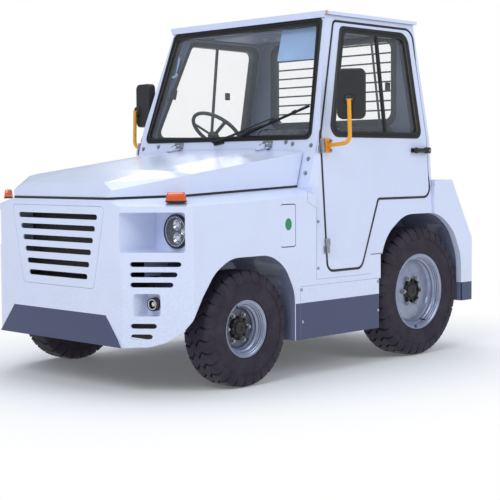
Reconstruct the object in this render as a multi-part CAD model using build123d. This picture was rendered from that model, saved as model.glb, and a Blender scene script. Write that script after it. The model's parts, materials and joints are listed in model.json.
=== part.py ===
from build123d import *
import math
import os

# Airport baggage tug, in millimetres: front towards -Y, the vehicle's left towards +X, ground at Z = 0.
# The origin lies on the ground under the middle of the overall length.

# Main sizes
wheelbase = 1430
front_overhang = 610
rear_overhang = 612
body_width = 1540
roof_top = 1943
tail_reach = 497

# Wheels and tyres
front_tyre_radius = 294
front_tyre_width = 178
front_rim_radius = 129
front_rim_width = 140
front_wheel_x = 674
rear_tyre_radius = 372
rear_tyre_width = 205
rear_rim_radius = 202
rear_rim_width = 176
rear_wheel_x = 655
rim_flange = 18
rim_wall = 7
bead_seat_gap = 0.3

# Steering
kingpin_x = 612
kingpin_radius = 16
steer_arm_back = 140
steer_arm_in = 47
steer_limit = 30

# Frame
rail_x = 330
rail_height = 120
rail_width = 60
rail_wall = 8
rail_bottom = 440
front_rail_lead = 90
beam_half = 30
spindle_radius = 20
rear_spindle_radius = 30
axle_tube_radius = 45
spring_width = 60
spring_leaf = 20
running_fit = 0.05
pin_fit = 0.05

# Sheet and wall thicknesses
sheet = 6
liner = 5
cab_wall = 36
roof_slab = 19
hood_wall = 14
glass_wall = 6
tail_wall = 36

# Running gaps
joint_gap = 0.3
seam_gap = 5
door_gap = 7

# Front bodywork
fascia_bottom = 240
fascia_front_half = 500
fascia_corner_back = 217
fascia_lean = 10
seam_front_z = 946
seam_rear_z = 990
side_bevel = 130
side_bevel_slope = 0.3
corner_bevel = 75
corner_bevel_slope = 0.4
front_bevel = 8
front_bevel_slope = 2.5
grille_top_z = 916
grille_bottom_z = 510
grille_top_half = 382
grille_bottom_half = 292
grille_slot_height = 27
skid_top_z = 388
skid_top_half = 381
skid_bottom_half = 498
skid_plate = 8

# Cab
belt_z = 1256
belt_half = 726
corner_inset = 12
top_half = 606
bend_z = 600
windscreen_rake = 0.28
windscreen_foot_back = 577
cab_rear_from_axle = 120
roof_half = 623
roof_front_over = 16
roof_rear_over = 14
door_front_from_axle = -842
door_rear_from_axle = 98

overall_length = front_overhang + wheelbase + rear_overhang
front_end_y = -overall_length / 2
front_axle_y = front_end_y + front_overhang
rear_axle_y = front_axle_y + wheelbase
half_width = body_width / 2
tail_y = rear_axle_y + tail_reach

os.makedirs("parts", exist_ok=True)


def outline(points, radius=0):
    """A closed flat outline, with its corners rounded."""
    shape = Polygon(*points, align=None)
    if radius:
        shape = fillet(shape.vertices(), radius)
    return shape


def along_x(points, low, high, radius=0):
    """A prism of (y, z) points from x = low to x = high."""
    return extrude(Plane.YZ.offset(low) * outline(points, radius), high - low, dir=(1, 0, 0))


def along_y(points, low, high, radius=0):
    """A prism of (x, z) points from y = low to y = high."""
    return extrude(Plane.XZ.offset(-high) * outline(points, radius), high - low, dir=(0, -1, 0))


def along_z(points, low, high, radius=0):
    """A prism of (x, y) points from z = low to z = high."""
    return extrude(Plane.XY.offset(low) * outline(points, radius), high - low, dir=(0, 0, 1))


def block(x0, x1, y0, y1, z0, z1):
    """A box between two corners."""
    middle = Pos((x0 + x1) / 2, (y0 + y1) / 2, (z0 + z1) / 2)
    return middle * Box(abs(x1 - x0), abs(y1 - y0), abs(z1 - z0))


def beyond(point, normal, reach=5000):
    """All of space past a plane, on its normal's side."""
    base = Plane(origin=point, z_dir=normal)
    return base * Box(reach, reach, reach, align=(Align.CENTER, Align.CENTER, Align.MIN))


def rod(start, end, radius):
    """A round bar between two points."""
    way = Vector(*end) - Vector(*start)
    base = Plane(origin=start, z_dir=way)
    return base * Cylinder(radius, way.length, align=(Align.CENTER, Align.CENTER, Align.MIN))


def ring_x(x0, x1, y, z, outer, inner):
    """A ring about an axle, from x0 to x1."""
    low = min(x0, x1)
    ring = extrude(Plane.YZ.offset(low) * (Pos(y, z) * Circle(outer)), abs(x1 - x0))
    if inner:
        ring -= extrude(Plane.YZ.offset(low) * (Pos(y, z) * Circle(inner)), abs(x1 - x0))
    return ring


def mirrored(shape):
    """The same shape on the vehicle's other side."""
    return mirror(shape, Plane.YZ)


def keep(name, *shapes):
    """Writes one sub-part."""
    solids = [solid for shape in shapes for solid in shape.solids()]
    export_step(Compound(children=solids), f"parts/{name}.step")


def turned(points, radius=0):
    """A ring turned about X from an outline of (x, radius) points."""
    return revolve(outline(points, radius), Axis.X, 360)


def tyre(width, outer, rim_radius, rim_width):
    """A tyre's section turned about its axle, centred on the origin."""
    half = width / 2
    bead = rim_width / 2 - rim_wall - bead_seat_gap
    seat = rim_radius + bead_seat_gap
    lip = rim_radius + rim_flange + 1
    depth = outer - lip
    # Each point of the outer half: x, radius
    side = [
        (bead, seat),
        (bead, lip),
        (0.91 * half, lip + 0.03 * depth),
        (0.98 * half, lip + 0.20 * depth),
        (half, lip + 0.45 * depth),
        (0.98 * half, lip + 0.68 * depth),
        (0.92 * half, lip + 0.87 * depth),
        (0.80 * half, lip + 0.97 * depth),
        (0.62 * half, outer),
    ]
    return turned(side + [(-x, r) for x, r in reversed(side)])


def rim(width, radius, disc_x, disc_wall, hub_hole, vents):
    """A rim: barrel, two flanges and a vented disc, centred on the origin."""
    half = width / 2
    barrel = turned([
        (-half, radius - rim_wall),
        (half, radius - rim_wall),
        (half, radius + rim_flange),
        (half - rim_wall, radius + rim_flange),
        (half - rim_wall, radius),
        (rim_wall - half, radius),
        (rim_wall - half, radius + rim_flange),
        (-half, radius + rim_flange),
    ])
    disc = ring_x(disc_x, disc_x + disc_wall, 0, 0, radius - rim_wall + 1, hub_hole)
    for turn in range(vents):
        angle = 2 * math.pi * turn / vents
        y = front_vent_circle * math.cos(angle)
        z = front_vent_circle * math.sin(angle)
        disc -= ring_x(disc_x - 1, disc_x + disc_wall + 1, y, z, front_vent_radius, 0)
    return barrel + disc


def hub(inner_x, disc_x, disc_wall, nose_x, body_radius, flange_radius, nose_radius, bore, bore_end,
        nut_circle, nut_size):
    """A wheel hub with its flange, nose, blind bearing bore and wheel nuts."""
    body = ring_x(inner_x, disc_x, 0, 0, body_radius, 0)
    body += ring_x(disc_x - 12, disc_x, 0, 0, flange_radius, 0)
    body += ring_x(disc_x, nose_x, 0, 0, nose_radius, 0)
    for turn in range(nut_count):
        angle = turn * nut_turn
        y = nut_circle * math.cos(angle)
        z = nut_circle * math.sin(angle)
        nut = extrude(Plane.YZ.offset(disc_x + disc_wall) * (Pos(y, z) * RegularPolygon(nut_size, 6)), 16)
        stud = ring_x(disc_x - 2, disc_x + disc_wall + 22, y, z, nut_size * stud_share, 0)
        body += nut + stud
    return body - ring_x(inner_x - 1, bore_end, 0, 0, bore, 0)


# Front wheels: disc and hub places are measured outward from the tyre's middle
front_disc_x = -2
front_disc_wall = 9
front_hub_inner = 660 - front_wheel_x
front_nose_x = 35
front_bore_end = 26
front_nut_circle = 73
front_nut_size = 11
front_vent_circle = 104
front_vent_radius = 11
front_hub_radius = 48
front_flange_radius = 86
front_nose_radius = 56

# Rear wheels
rear_disc_x = 14
rear_disc_wall = 12
rear_hub_inner = 575 - rear_wheel_x
rear_nose_x = 45
rear_bore_end = 36
rear_nut_circle = 79
rear_nut_size = 12
rear_hub_radius = 66
rear_flange_radius = 100
rear_nose_radius = 66
nut_count = 6
front_vents = 8
rear_vents = 0
nut_turn = 2 * math.pi / nut_count
stud_share = 0.42


def wheel_pieces(front):
    """The tyre, rim and hub of a left wheel, centred on the origin."""
    if front:
        rubber = tyre(front_tyre_width, front_tyre_radius, front_rim_radius, front_rim_width)
        steel = rim(front_rim_width, front_rim_radius, front_disc_x, front_disc_wall, front_nose_radius,
                    front_vents)
        middle = hub(front_hub_inner, front_disc_x, front_disc_wall, front_nose_x, front_hub_radius,
                     front_flange_radius, front_nose_radius - joint_gap, spindle_radius + running_fit,
                     front_bore_end, front_nut_circle, front_nut_size)
    else:
        rubber = tyre(rear_tyre_width, rear_tyre_radius, rear_rim_radius, rear_rim_width)
        steel = rim(rear_rim_width, rear_rim_radius, rear_disc_x, rear_disc_wall, rear_nose_radius,
                    rear_vents)
        middle = hub(rear_hub_inner, rear_disc_x, rear_disc_wall, rear_nose_x, rear_hub_radius,
                     rear_flange_radius, rear_nose_radius - joint_gap, rear_spindle_radius + running_fit,
                     rear_bore_end, rear_nut_circle, rear_nut_size)
    # the studs pass through holes in the disc
    disc_x = front_disc_x if front else rear_disc_x
    disc_wall = front_disc_wall if front else rear_disc_wall
    circle = front_nut_circle if front else rear_nut_circle
    size = front_nut_size if front else rear_nut_size
    for turn in range(nut_count):
        angle = turn * nut_turn
        y = circle * math.cos(angle)
        z = circle * math.sin(angle)
        steel -= ring_x(disc_x - 1, disc_x + disc_wall + 1, y, z, size * stud_share + joint_gap, 0)
    return rubber, steel, middle


for axle, wheel_x, wheel_y, wheel_z in (
        ("front", front_wheel_x, front_axle_y, front_tyre_radius),
        ("rear", rear_wheel_x, rear_axle_y, rear_tyre_radius)):
    rubber, steel, middle = wheel_pieces(axle == "front")
    for side in ("left", "right"):
        place = Pos(wheel_x, wheel_y, wheel_z)
        pieces = [place * piece for piece in (rubber, steel, middle)]
        if side == "right":
            pieces = [mirrored(piece) for piece in pieces]
        keep(f"tyre_{axle}_{side}", pieces[0])
        keep(f"wheel_{axle}_{side}", pieces[1] + pieces[2])


# Front axle: a beam with an eye at each end for the kingpin
eye_radius = 26
eye_half = 35
lug_gap = 2
lug_height = 26
lug_radius = 28
plate_x = 643
plate_wall = 12
front_z = front_tyre_radius
spring_y_reach = 330

beam = block(-kingpin_x + 10, kingpin_x - 10, front_axle_y - beam_half, front_axle_y + beam_half,
             front_z - beam_half, front_z + beam_half)
for sign in (1, -1):
    eye = Pos(sign * kingpin_x, front_axle_y, front_z) * Cylinder(eye_radius, 2 * eye_half)
    beam += eye
for sign in (1, -1):
    beam -= Pos(sign * kingpin_x, front_axle_y, front_z) * Cylinder(kingpin_radius + pin_fit, 3 * eye_half)
keep("front_axle_beam", beam)

arm_z = front_z - eye_half - lug_gap - lug_height
arm_height = 20
arm_width = 28
arm_bend = 42
rod_pin_radius = 9
rod_eye_height = 30


def knuckle():
    """The left steering knuckle: two lugs, kingpin, plate, stub axle and steering arm."""
    low = front_z - eye_half - lug_gap - lug_height
    high = front_z + eye_half + lug_gap + lug_height
    base = Pos(kingpin_x, front_axle_y, 0)
    shape = block(plate_x, plate_x + plate_wall, front_axle_y - lug_radius, front_axle_y + lug_radius, low, high)
    for foot in (low, high - lug_height):
        lug = base * Pos(0, 0, foot) * Cylinder(lug_radius, lug_height, align=(Align.CENTER, Align.CENTER, Align.MIN))
        lug += block(kingpin_x, plate_x + 1, front_axle_y - lug_radius, front_axle_y + lug_radius,
                     foot, foot + lug_height)
        shape += lug
    shape += base * Pos(0, 0, low) * Cylinder(kingpin_radius, high - low, align=(Align.CENTER, Align.CENTER, Align.MIN))
    shape += rod((plate_x, front_axle_y, front_z), (front_wheel_x + front_bore_end - 2, front_axle_y, front_z),
                 spindle_radius)
    end_x = kingpin_x - steer_arm_in
    end_y = front_axle_y + steer_arm_back
    half = arm_width / 2
    shape += along_z([
        (kingpin_x, front_axle_y - half),
        (kingpin_x, front_axle_y + half),
        (end_x + half, front_axle_y + arm_bend),
        (end_x + half, end_y + half),
        (end_x - half, end_y + half),
        (end_x - half, front_axle_y + arm_bend - half),
    ], arm_z, arm_z + arm_height)
    return shape


left_knuckle = knuckle()
right_knuckle = mirrored(left_knuckle)
pin_x = kingpin_x - steer_arm_in
pin_y = front_axle_y + steer_arm_back
pin_foot = arm_z + arm_height
left_knuckle += Pos(pin_x, pin_y, pin_foot - 1) * Cylinder(
    rod_pin_radius, rod_eye_height + 6, align=(Align.CENTER, Align.CENTER, Align.MIN))
keep("knuckle_left", left_knuckle)
keep("knuckle_right", right_knuckle)

# Tie rod: an eye on the left arm's pin, and an open end above the right arm
eye_lift = 1
rod_z = pin_foot + eye_lift + rod_eye_height / 2
tie = rod((-pin_x, pin_y, rod_z), (pin_x, pin_y, rod_z), 12)
for sign in (1, -1):
    tie += Pos(sign * pin_x, pin_y, rod_z) * Cylinder(20, rod_eye_height)
tie -= Pos(pin_x, pin_y, rod_z) * Cylinder(rod_pin_radius + pin_fit, 2 * rod_eye_height)
keep("tie_rod", tie)

# Rear axle: tube, middle housing and the stub that each hub turns on
rear_z = rear_tyre_radius
stub_start = rear_wheel_x + rear_hub_inner - 5
axle = ring_x(-stub_start, stub_start, rear_axle_y, rear_z, axle_tube_radius, 0)
axle += Pos(0, rear_axle_y, rear_z) * Rot(0, 90, 0) * Cylinder(120, 150)
axle += ring_x(-stub_start, -stub_start + 30, rear_axle_y, rear_z, 95, 0)
axle += ring_x(stub_start - 30, stub_start, rear_axle_y, rear_z, 95, 0)
stub_end = rear_wheel_x + rear_bore_end - 2
axle += ring_x(-stub_end, stub_end, rear_axle_y, rear_z, rear_spindle_radius, 0)
keep("rear_axle", axle)

# Frame: two box rails, cross members and leaf springs
rail_top = rail_bottom + rail_height
rail_front_y = front_end_y + front_rail_lead
rail_rear_y = tail_y - tail_wall
rail_in = rail_x - rail_width / 2
rail_out = rail_x + rail_width / 2
rail_hollow = block(rail_in + rail_wall, rail_out - rail_wall, rail_front_y - 1, rail_rear_y + 1,
                    rail_bottom + rail_wall, rail_top - rail_wall)
rail = block(rail_in, rail_out, rail_front_y, rail_rear_y, rail_bottom, rail_top) - rail_hollow
keep("chassis_rails", rail, mirrored(rail))

cross_depth = 60
cross_height = 80
member_places = (rail_front_y + 30, front_axle_y + 420, rear_axle_y - 330, rear_axle_y + 330)
members = []
for member_y in member_places:
    members.append(block(-rail_in, rail_in, member_y, member_y + cross_depth,
                         rail_top - cross_height, rail_top))
bumper_beam_front = front_end_y + 30
bumper_beam_low = 300
bumper_beam_rear = rail_front_y + 60
splash_half = 640
splash_low = 270
splash_high = 372
bumper_beam = block(-rail_out, rail_out, bumper_beam_front, bumper_beam_rear, bumper_beam_low, rail_bottom)
bumper_beam += block(-splash_half, splash_half, bumper_beam_rear - sheet, bumper_beam_rear, splash_low, splash_high)
members.append(bumper_beam)
keep("chassis_crossmembers", *members)


def leaf_spring(axle_y, seat_z, reach):
    """A leaf spring under a rail with a hanger at each end, for the left side."""
    low = seat_z
    high = rail_bottom - 35
    with_bow = [(axle_y - reach, high), (axle_y, low), (axle_y + reach, high)]
    lower = ThreePointArc(*with_bow)
    upper = ThreePointArc(*[(y, z + spring_leaf) for y, z in with_bow])
    ends = [Line(upper @ 0, lower @ 0), Line(upper @ 1, lower @ 1)]
    section = make_face([lower, upper, *ends])
    spring = extrude(Plane.YZ.offset(rail_x - spring_width / 2) * section, spring_width, dir=(1, 0, 0))
    for end in (-reach, reach):
        spring += block(rail_x - spring_width / 2, rail_x + spring_width / 2, axle_y + end - 18, axle_y + end + 18,
                        high - 4, rail_bottom)
    spring += block(rail_x - spring_width / 2, rail_x + spring_width / 2, axle_y - 50, axle_y + 50,
                    low, low + spring_leaf + 12)
    return spring


front_spring = leaf_spring(front_axle_y, front_z + beam_half, spring_y_reach)
rear_pad = rear_z + axle_tube_radius
rear_mounts = []
for sign in (1, -1):
    pad = block(sign * rail_x - 30, sign * rail_x + 30, rear_axle_y - 40, rear_axle_y + 40,
                rear_z, rail_bottom)
    pad -= ring_x(-stub_start, stub_start, rear_axle_y, rear_z, axle_tube_radius + joint_gap, 0)
    rear_mounts.append(pad)
keep("suspension", front_spring, mirrored(front_spring), *rear_mounts)

power_half = 262
power_front_y = front_axle_y - 330
power_rear_y = front_axle_y + 330
power_low = 400
power_high = 830
power_block = block(-power_half, power_half, power_front_y, power_rear_y, power_low, power_high)
power_ear = 60
power_ear_inset = 130
for sign in (1, -1):
    for ear_y in (power_front_y + power_ear_inset, power_rear_y - power_ear_inset - power_ear):
        power_block += block(sign * (power_half - 1), sign * rail_in, ear_y, ear_y + power_ear,
                             rail_bottom + 30, rail_top - 30)
core_half = 340
core_front_y = front_end_y + 110
core_depth = 60
core_low = rail_top
core_high = 900
cooling_core = block(-core_half, core_half, core_front_y, core_front_y + core_depth, core_low, core_high)
keep("power_unit", power_block, cooling_core)

# Front bodywork: one shell of front face, corner faces, sides and top shelf, split into fascia and fenders
face_y = front_end_y + fascia_lean
corner_y = face_y + fascia_corner_back
cab_panel_front_y = rear_axle_y - 927
cover_seam_z = 478
sill_top_z = 392
sill_bottom_z = 201
seam_slope = (seam_rear_z - seam_front_z) / (cab_panel_front_y - face_y)
fascia_split_y = corner_y + 14
corner_run = half_width - fascia_front_half
corner_length = math.hypot(corner_run, fascia_corner_back)
corner_way = (fascia_corner_back / corner_length, -corner_run / corner_length)


def shelf_z(y, drop=0):
    """Height of the sloping seam plane under the hood."""
    return seam_front_z + seam_slope * (y - face_y) - drop


def under_shelf(shape, drop=0):
    """What of a shape lies under the seam plane and the bevels round it."""
    planes = [
        ((0, face_y, shelf_z(face_y)), (0, -seam_slope, 1)),
        ((0, face_y + front_bevel, shelf_z(face_y)), (0, -front_bevel_slope, 1)),
    ]
    for sign in (1, -1):
        planes.append(((sign * (half_width - side_bevel), face_y, shelf_z(face_y)),
                       (sign * side_bevel_slope, -seam_slope, 1)))
        planes.append(((sign * (fascia_front_half - corner_way[0] * corner_bevel),
                        face_y - corner_way[1] * corner_bevel, shelf_z(face_y)),
                       (sign * corner_way[0] * corner_bevel_slope, corner_way[1] * corner_bevel_slope, 1)))
    for point, normal in planes:
        shape -= beyond((point[0], point[1], point[2] - drop), normal)
    return shape


front_plan = [
    (-fascia_front_half, face_y),
    (fascia_front_half, face_y),
    (half_width, corner_y),
    (half_width, cab_panel_front_y + 200),
    (-half_width, cab_panel_front_y + 200),
    (-half_width, corner_y),
]
plan_round = 24
plan_face = outline(front_plan, plan_round)
tub_high = 1100
tub = extrude(Plane.XY.offset(fascia_bottom - 60) * plan_face, tub_high - fascia_bottom + 60)
tub_inside = extrude(Plane.XY.offset(fascia_bottom - 70) * offset(plan_face, -sheet), tub_high - fascia_bottom + 60)
tub = under_shelf(tub) - under_shelf(tub_inside, sheet)
tub -= block(-half_width, half_width, cab_panel_front_y, cab_panel_front_y + 300, 0, tub_high)

# Hood outline on the shelf, front edge first
hood_front_half = 385
hood_front_y = face_y + front_bevel
hood_corner_x = 640
hood_corner_y = face_y + 300
hood_rear_x = 636
hood_rear_y = cab_panel_front_y - 6
hood_plan = [
    (-hood_front_half, hood_front_y),
    (hood_front_half, hood_front_y),
    (hood_corner_x, hood_corner_y),
    (hood_rear_x, hood_rear_y + 200),
    (-hood_rear_x, hood_rear_y + 200),
    (-hood_corner_x, hood_corner_y),
]
hood_plan_round = 60
hood_face = outline(hood_plan, hood_plan_round)
ledge = 30
tub -= extrude(Plane.XY.offset(fascia_bottom) * offset(hood_face, -ledge), tub_high) & block(
    -half_width, half_width, face_y, cab_panel_front_y + 1, seam_front_z - 100, tub_high)

# Wheel arches, each row: distance from the axle, height
front_arch_rear = 335
rear_arch_rear = 392
front_arch = [(-424, -400), (-424, 300), (-318, 480), (-235, 592), (-125, 656), (150, 656), (262, 592),
              (front_arch_rear, 450), (front_arch_rear, -400)]
rear_arch = [(-388, -400), (-388, 600), (-310, 725), (-150, 825), (150, 825), (300, 725), (385, 560),
             (rear_arch_rear, -400)]
front_arch_round = 205
rear_arch_round = 265


def arch_outline(points, axle_y, grow=0):
    """An arch's outline, grown by a liner's thickness where asked."""
    rounding = front_arch_round if points is front_arch else rear_arch_round
    shape = outline([(axle_y + y, z) for y, z in points], rounding)
    if grow:
        shape = offset(shape, grow)
    return shape


def arch_space(points, axle_y, low, high, grow=0):
    """The space of an arch between two places across the vehicle."""
    return extrude(Plane.YZ.offset(low) * arch_outline(points, axle_y, grow), high - low, dir=(1, 0, 0))


for sign in (1, -1):
    near = half_width - 60 if sign > 0 else -half_width - 10
    tub -= arch_space(front_arch, front_axle_y, near, near + 70)

# The arch's sheet, from the side panel in to the frame
liner_in = 400
well_foot_z = sill_bottom_z
well_rear_y = front_axle_y + front_arch_rear + liner
front_liner = arch_space(front_arch, front_axle_y, liner_in, half_width - sheet, liner)
front_liner -= arch_space(front_arch, front_axle_y, liner_in - 1, half_width)
front_liner -= block(0, half_width, front_axle_y - 900, corner_y + 20, 0, 2000)
front_liner -= block(0, half_width, front_axle_y, front_axle_y + 600, -500, well_foot_z)
front_liner -= block(0, half_width, front_axle_y - 600, front_axle_y, -500, fascia_bottom + 60)
liner_wall = block(liner_in - liner, liner_in, corner_y + 20, well_rear_y, rail_top, shelf_z(corner_y, sheet))
liner_wall -= arch_space(front_arch, front_axle_y, liner_in - 10, liner_in + 10)
liner_wall += block(liner_in - liner, liner_in, front_axle_y - 300, front_axle_y + 330, rail_top, 600)
liner_wall += block(liner_in, half_width, well_rear_y - liner, well_rear_y, well_foot_z, cover_seam_z + 1)

# Corner panels: the curved lower edge, the lamp pockets and the air slots, each named by its place across the front
corner_edge = [(540, -300), (540, 243), (600, 243), (660, 264), (715, 304), (760, 346), (900, 400), (900, -300)]
lamp_pocket = (490, 743, 697, 888)
lamp_back_y = rear_axle_y - 1795
fog_pocket = (545, 648, 392, 500)
fog_back_y = rear_axle_y - 1900
pocket_wall = 4
# Each row: outer end, height, of the slots that all start at slot_start_x
slot_start_x = 532
slot_height = 24
corner_slots = [(728, 641), (713, 592), (697, 543), (633, 345), (617, 294)]

corner_prism = along_z([(0, face_y), (fascia_front_half, face_y), (half_width, corner_y), (half_width, 900), (0, 900)],
                       0, 1200)


def pocket_box(pocket, back_y):
    """A lamp pocket's walls, cut to the corner face, and the space inside it."""
    x0, x1, z0, z1 = pocket
    walls = block(x0 - pocket_wall, x1 + pocket_wall, face_y, back_y + pocket_wall, z0 - pocket_wall, z1 + pocket_wall)
    walls &= corner_prism
    space = along_y([(x0, z0), (x1, z0), (x1, z1), (x0, z1)], face_y - 50, back_y, 12)
    return walls, space


front_left = []
for pocket, back_y in ((lamp_pocket, lamp_back_y), (fog_pocket, fog_back_y)):
    walls, space = pocket_box(pocket, back_y)
    front_left.append((walls, space))

slot_cuts = []
for end_x, z in corner_slots:
    middle_x = (slot_start_x + end_x) / 2
    flat = Pos(middle_x, z) * SlotOverall(end_x - slot_start_x, slot_height)
    slot_cuts.append(extrude(Plane.XZ.offset(-(corner_y - 10)) * flat, 240))

corner_cut = along_y(corner_edge, face_y - 20, fascia_split_y + 60)
fascia = tub - block(-half_width - 1, half_width + 1, fascia_split_y, 900, 0, 1500)
fascia -= block(-half_width, half_width, face_y - 20, face_y + 600, 0, fascia_bottom)
for flip in (False, True):
    for walls, space in front_left:
        wall_piece = mirrored(walls) if flip else walls
        fascia += wall_piece
    for walls, space in front_left:
        fascia -= mirrored(space) if flip else space
    for cut in slot_cuts + [corner_cut]:
        fascia -= mirrored(cut) if flip else cut

# Grille opening with a ledge behind it that the grille panel sits on
grille_hole = [(-grille_bottom_half, grille_bottom_z), (grille_bottom_half, grille_bottom_z),
               (grille_top_half, grille_top_z), (-grille_top_half, grille_top_z)]
grille_round = 24
grille_ledge = 16
grille_face = outline(grille_hole, grille_round)
grille_plane = Plane.XZ.offset(-(face_y + sheet))
ledge_ring = extrude(Plane.XZ.offset(-(face_y + 2 * sheet)) * (
    offset(grille_face, grille_ledge) - offset(grille_face, -grille_ledge)), sheet, dir=(0, -1, 0))
fascia -= extrude(grille_plane * grille_face, sheet + 5, dir=(0, -1, 0))
fascia += ledge_ring

# Notch for the skid plate, carried on down along its sloping ends
notch_drop = 40
skid_flare = (skid_bottom_half - skid_top_half) / (skid_top_z - fascia_bottom)
notch_half = skid_bottom_half + notch_drop * skid_flare
skid_seam = 1
fascia -= along_y([(-notch_half, fascia_bottom - notch_drop), (notch_half, fascia_bottom - notch_drop),
                   (skid_top_half, skid_top_z), (-skid_top_half, skid_top_z)], face_y - 5, face_y + 60)
keep("front_fascia", fascia)

# Grille panel with six slots; each row: half length, height
grille_slots = [(325, 862), (307, 805), (290, 747), (273, 688), (258, 627), (242, 567)]
grille_seam = 2
grille_panel = extrude(grille_plane * offset(grille_face, -grille_seam), sheet, dir=(0, -1, 0))
for half_length, z in grille_slots:
    flat = Pos(0, z) * SlotOverall(2 * half_length, grille_slot_height)
    grille_panel -= extrude(Plane.XZ.offset(-(face_y + 2 * sheet)) * flat, 3 * sheet)
keep("grille_panel", grille_panel)

# Skid plate, leaning forward to its foot, on two pads
skid_low = fascia_bottom
skid = along_x([(face_y, skid_top_z), (face_y + skid_plate, skid_top_z), (front_end_y + skid_plate, skid_low),
                (front_end_y, skid_low)], -half_width, half_width)
skid &= along_y([(skid_seam - skid_bottom_half, skid_low), (skid_bottom_half - skid_seam, skid_low),
                 (skid_top_half - skid_seam, skid_top_z), (skid_seam - skid_top_half, skid_top_z)],
                face_y - 100, face_y + 100)
for sign in (1, -1):
    skid += block(sign * 250 - 30, sign * 250 + 30, front_end_y + skid_plate, bumper_beam_front,
                  bumper_beam_low + 20, bumper_beam_low + 70)
keep("skid_plate", skid)

# Fenders: the rest of the tub on each side with its wheel arch sheet
flap_front_y = front_axle_y + 232
flap_rear_y = flap_front_y + 112
flap_low = 688
flap_high = 911
flap_round = 12
flap_hole = along_x([(flap_front_y, flap_low), (flap_rear_y, flap_low), (flap_rear_y, flap_high),
                     (flap_front_y, flap_high)], half_width - 3 * sheet, half_width + 10, flap_round)
fender_zone = block(0, half_width + 1, fascia_split_y, cab_panel_front_y, 0, 1500)
fender = (tub & fender_zone) + front_liner + liner_wall
fender -= block(0, half_width + 1, well_rear_y, cab_panel_front_y + 1, -500, cover_seam_z)
fender -= block(0, half_width + 1, front_axle_y, well_rear_y + 1, -500, sill_bottom_z)
fender_left = fender - flap_hole

# Service flap in the left fender, hinged at its front edge
flap = along_x([(flap_front_y + joint_gap, flap_low + seam_gap), (flap_rear_y - seam_gap, flap_low + seam_gap),
                (flap_rear_y - seam_gap, flap_high - seam_gap), (flap_front_y + joint_gap, flap_high - seam_gap)],
               half_width - sheet, half_width, flap_round)
keep("service_flap", flap)
socket_depth = 60
socket = block(half_width - sheet - socket_depth, half_width - sheet, flap_front_y - 12, flap_rear_y + 12,
               flap_low - 12, flap_high + 12)
socket -= block(half_width - sheet - socket_depth + 4, half_width, flap_front_y, flap_rear_y, flap_low, flap_high)
socket += ring_x(half_width - sheet - socket_depth, half_width - sheet - 20, (flap_front_y + flap_rear_y) / 2,
                 (flap_low + flap_high) / 2, 30, 22)
keep("fenders", fender_left + socket, mirrored(fender))

# Cab: the raked front plane runs down from the windscreen to the fenders' rear edge
cab_rear_y = rear_axle_y + cab_rear_from_axle
screen_foot_y = rear_axle_y - 853
wall_top = roof_top - roof_slab
floor_wall = 16
cab_floor_z = rail_top + floor_wall


def rake_y(z):
    """The cab's front plane at a height."""
    return screen_foot_y + windscreen_rake * (z - belt_z)


front_normal = (0, -1, windscreen_rake)

# Hood: wall, leaning front band, two top slopes and drooping sides
seal_height = 12
hood_low = seal_height + joint_gap
crease_x = 325
top_start_y = face_y + 52
top_start_z = 1029
top_break_y = face_y + 352
front_slope = 0.2
rear_slope = 0.133
side_droop = 0.06
top_break_z = top_start_z + front_slope * (top_break_y - top_start_y)
hood_gap = 8


def hood_form(face, drop):
    """The hood's closed form over an outline, with its planes lowered by a wall thickness."""
    shape = extrude(Plane.XY.offset(seam_front_z - 100) * face, 600)
    planes = [
        ((0, hood_front_y, seam_front_z), (0, -79, 39)),
        ((0, top_start_y, top_start_z), (0, -front_slope, 1)),
        ((0, top_break_y, top_break_z), (0, -rear_slope, 1)),
        ((0, rake_y(belt_z) - hood_gap, belt_z), (0, 1, -windscreen_rake)),
    ]
    for sign in (1, -1):
        planes.append(((sign * crease_x, top_start_y, top_start_z), (sign * side_droop, -front_slope, 1)))
        planes.append(((sign * crease_x, top_break_y, top_break_z), (sign * side_droop, -rear_slope, 1)))
        planes.append(((sign * crease_x, top_start_y, top_start_z), (sign * 0.325, -0.547, 1)))
    for point, normal in planes:
        way = Vector(*normal).normalized()
        shape -= beyond(tuple(Vector(*point) - way * drop), normal)
    return shape


seam_point = (0, face_y, shelf_z(face_y))
hood = hood_form(hood_face, 0)
hood -= hood_form(offset(hood_face, -hood_wall), hood_wall)
hood -= beyond((0, face_y, seam_point[2] + hood_low), (0, seam_slope, -1))

hinge_x = 360
hinge_z = 1216
hinge_y = rake_y(hinge_z) - 20
hinge_pin = 7
hinge_barrel = 13
hinge_half = 13
hood_top_rear = top_break_z + rear_slope * (rake_y(1190) - hood_gap - top_break_y)
for sign in (1, -1):
    strap = along_x([(hinge_y - 60, hood_top_rear - 14), (hinge_y - 2, hood_top_rear - 6),
                     (hinge_y + 4, hinge_z), (hinge_y - 12, hinge_z + 8), (hinge_y - 60, hood_top_rear - 2)],
                    sign * hinge_x - hinge_half, sign * hinge_x + hinge_half)
    barrel = ring_x(sign * hinge_x - hinge_half, sign * hinge_x + hinge_half, hinge_y, hinge_z, hinge_barrel, 0)
    hood += strap + barrel
for sign in (1, -1):
    hood -= ring_x(sign * hinge_x - 20, sign * hinge_x + 20, hinge_y, hinge_z, hinge_pin + pin_fit, 0)
keep("hood", hood)

# Rubber seal on the shelf under the hood's wall
seal_inset = 1
seal_ring = extrude(Plane.XY.offset(seam_front_z - 40) * (
    offset(hood_face, -seal_inset) - offset(hood_face, -seal_inset - 10)), 400)
seal = seal_ring - beyond((0, face_y, seam_point[2] + seal_height), (0, -seam_slope, 1))
seal -= beyond((0, face_y, seam_point[2]), (0, seam_slope, -1))
seal -= block(-half_width, half_width, cab_panel_front_y, cab_panel_front_y + 400, 0, 1500)
keep("hood_seal", seal)

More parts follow.
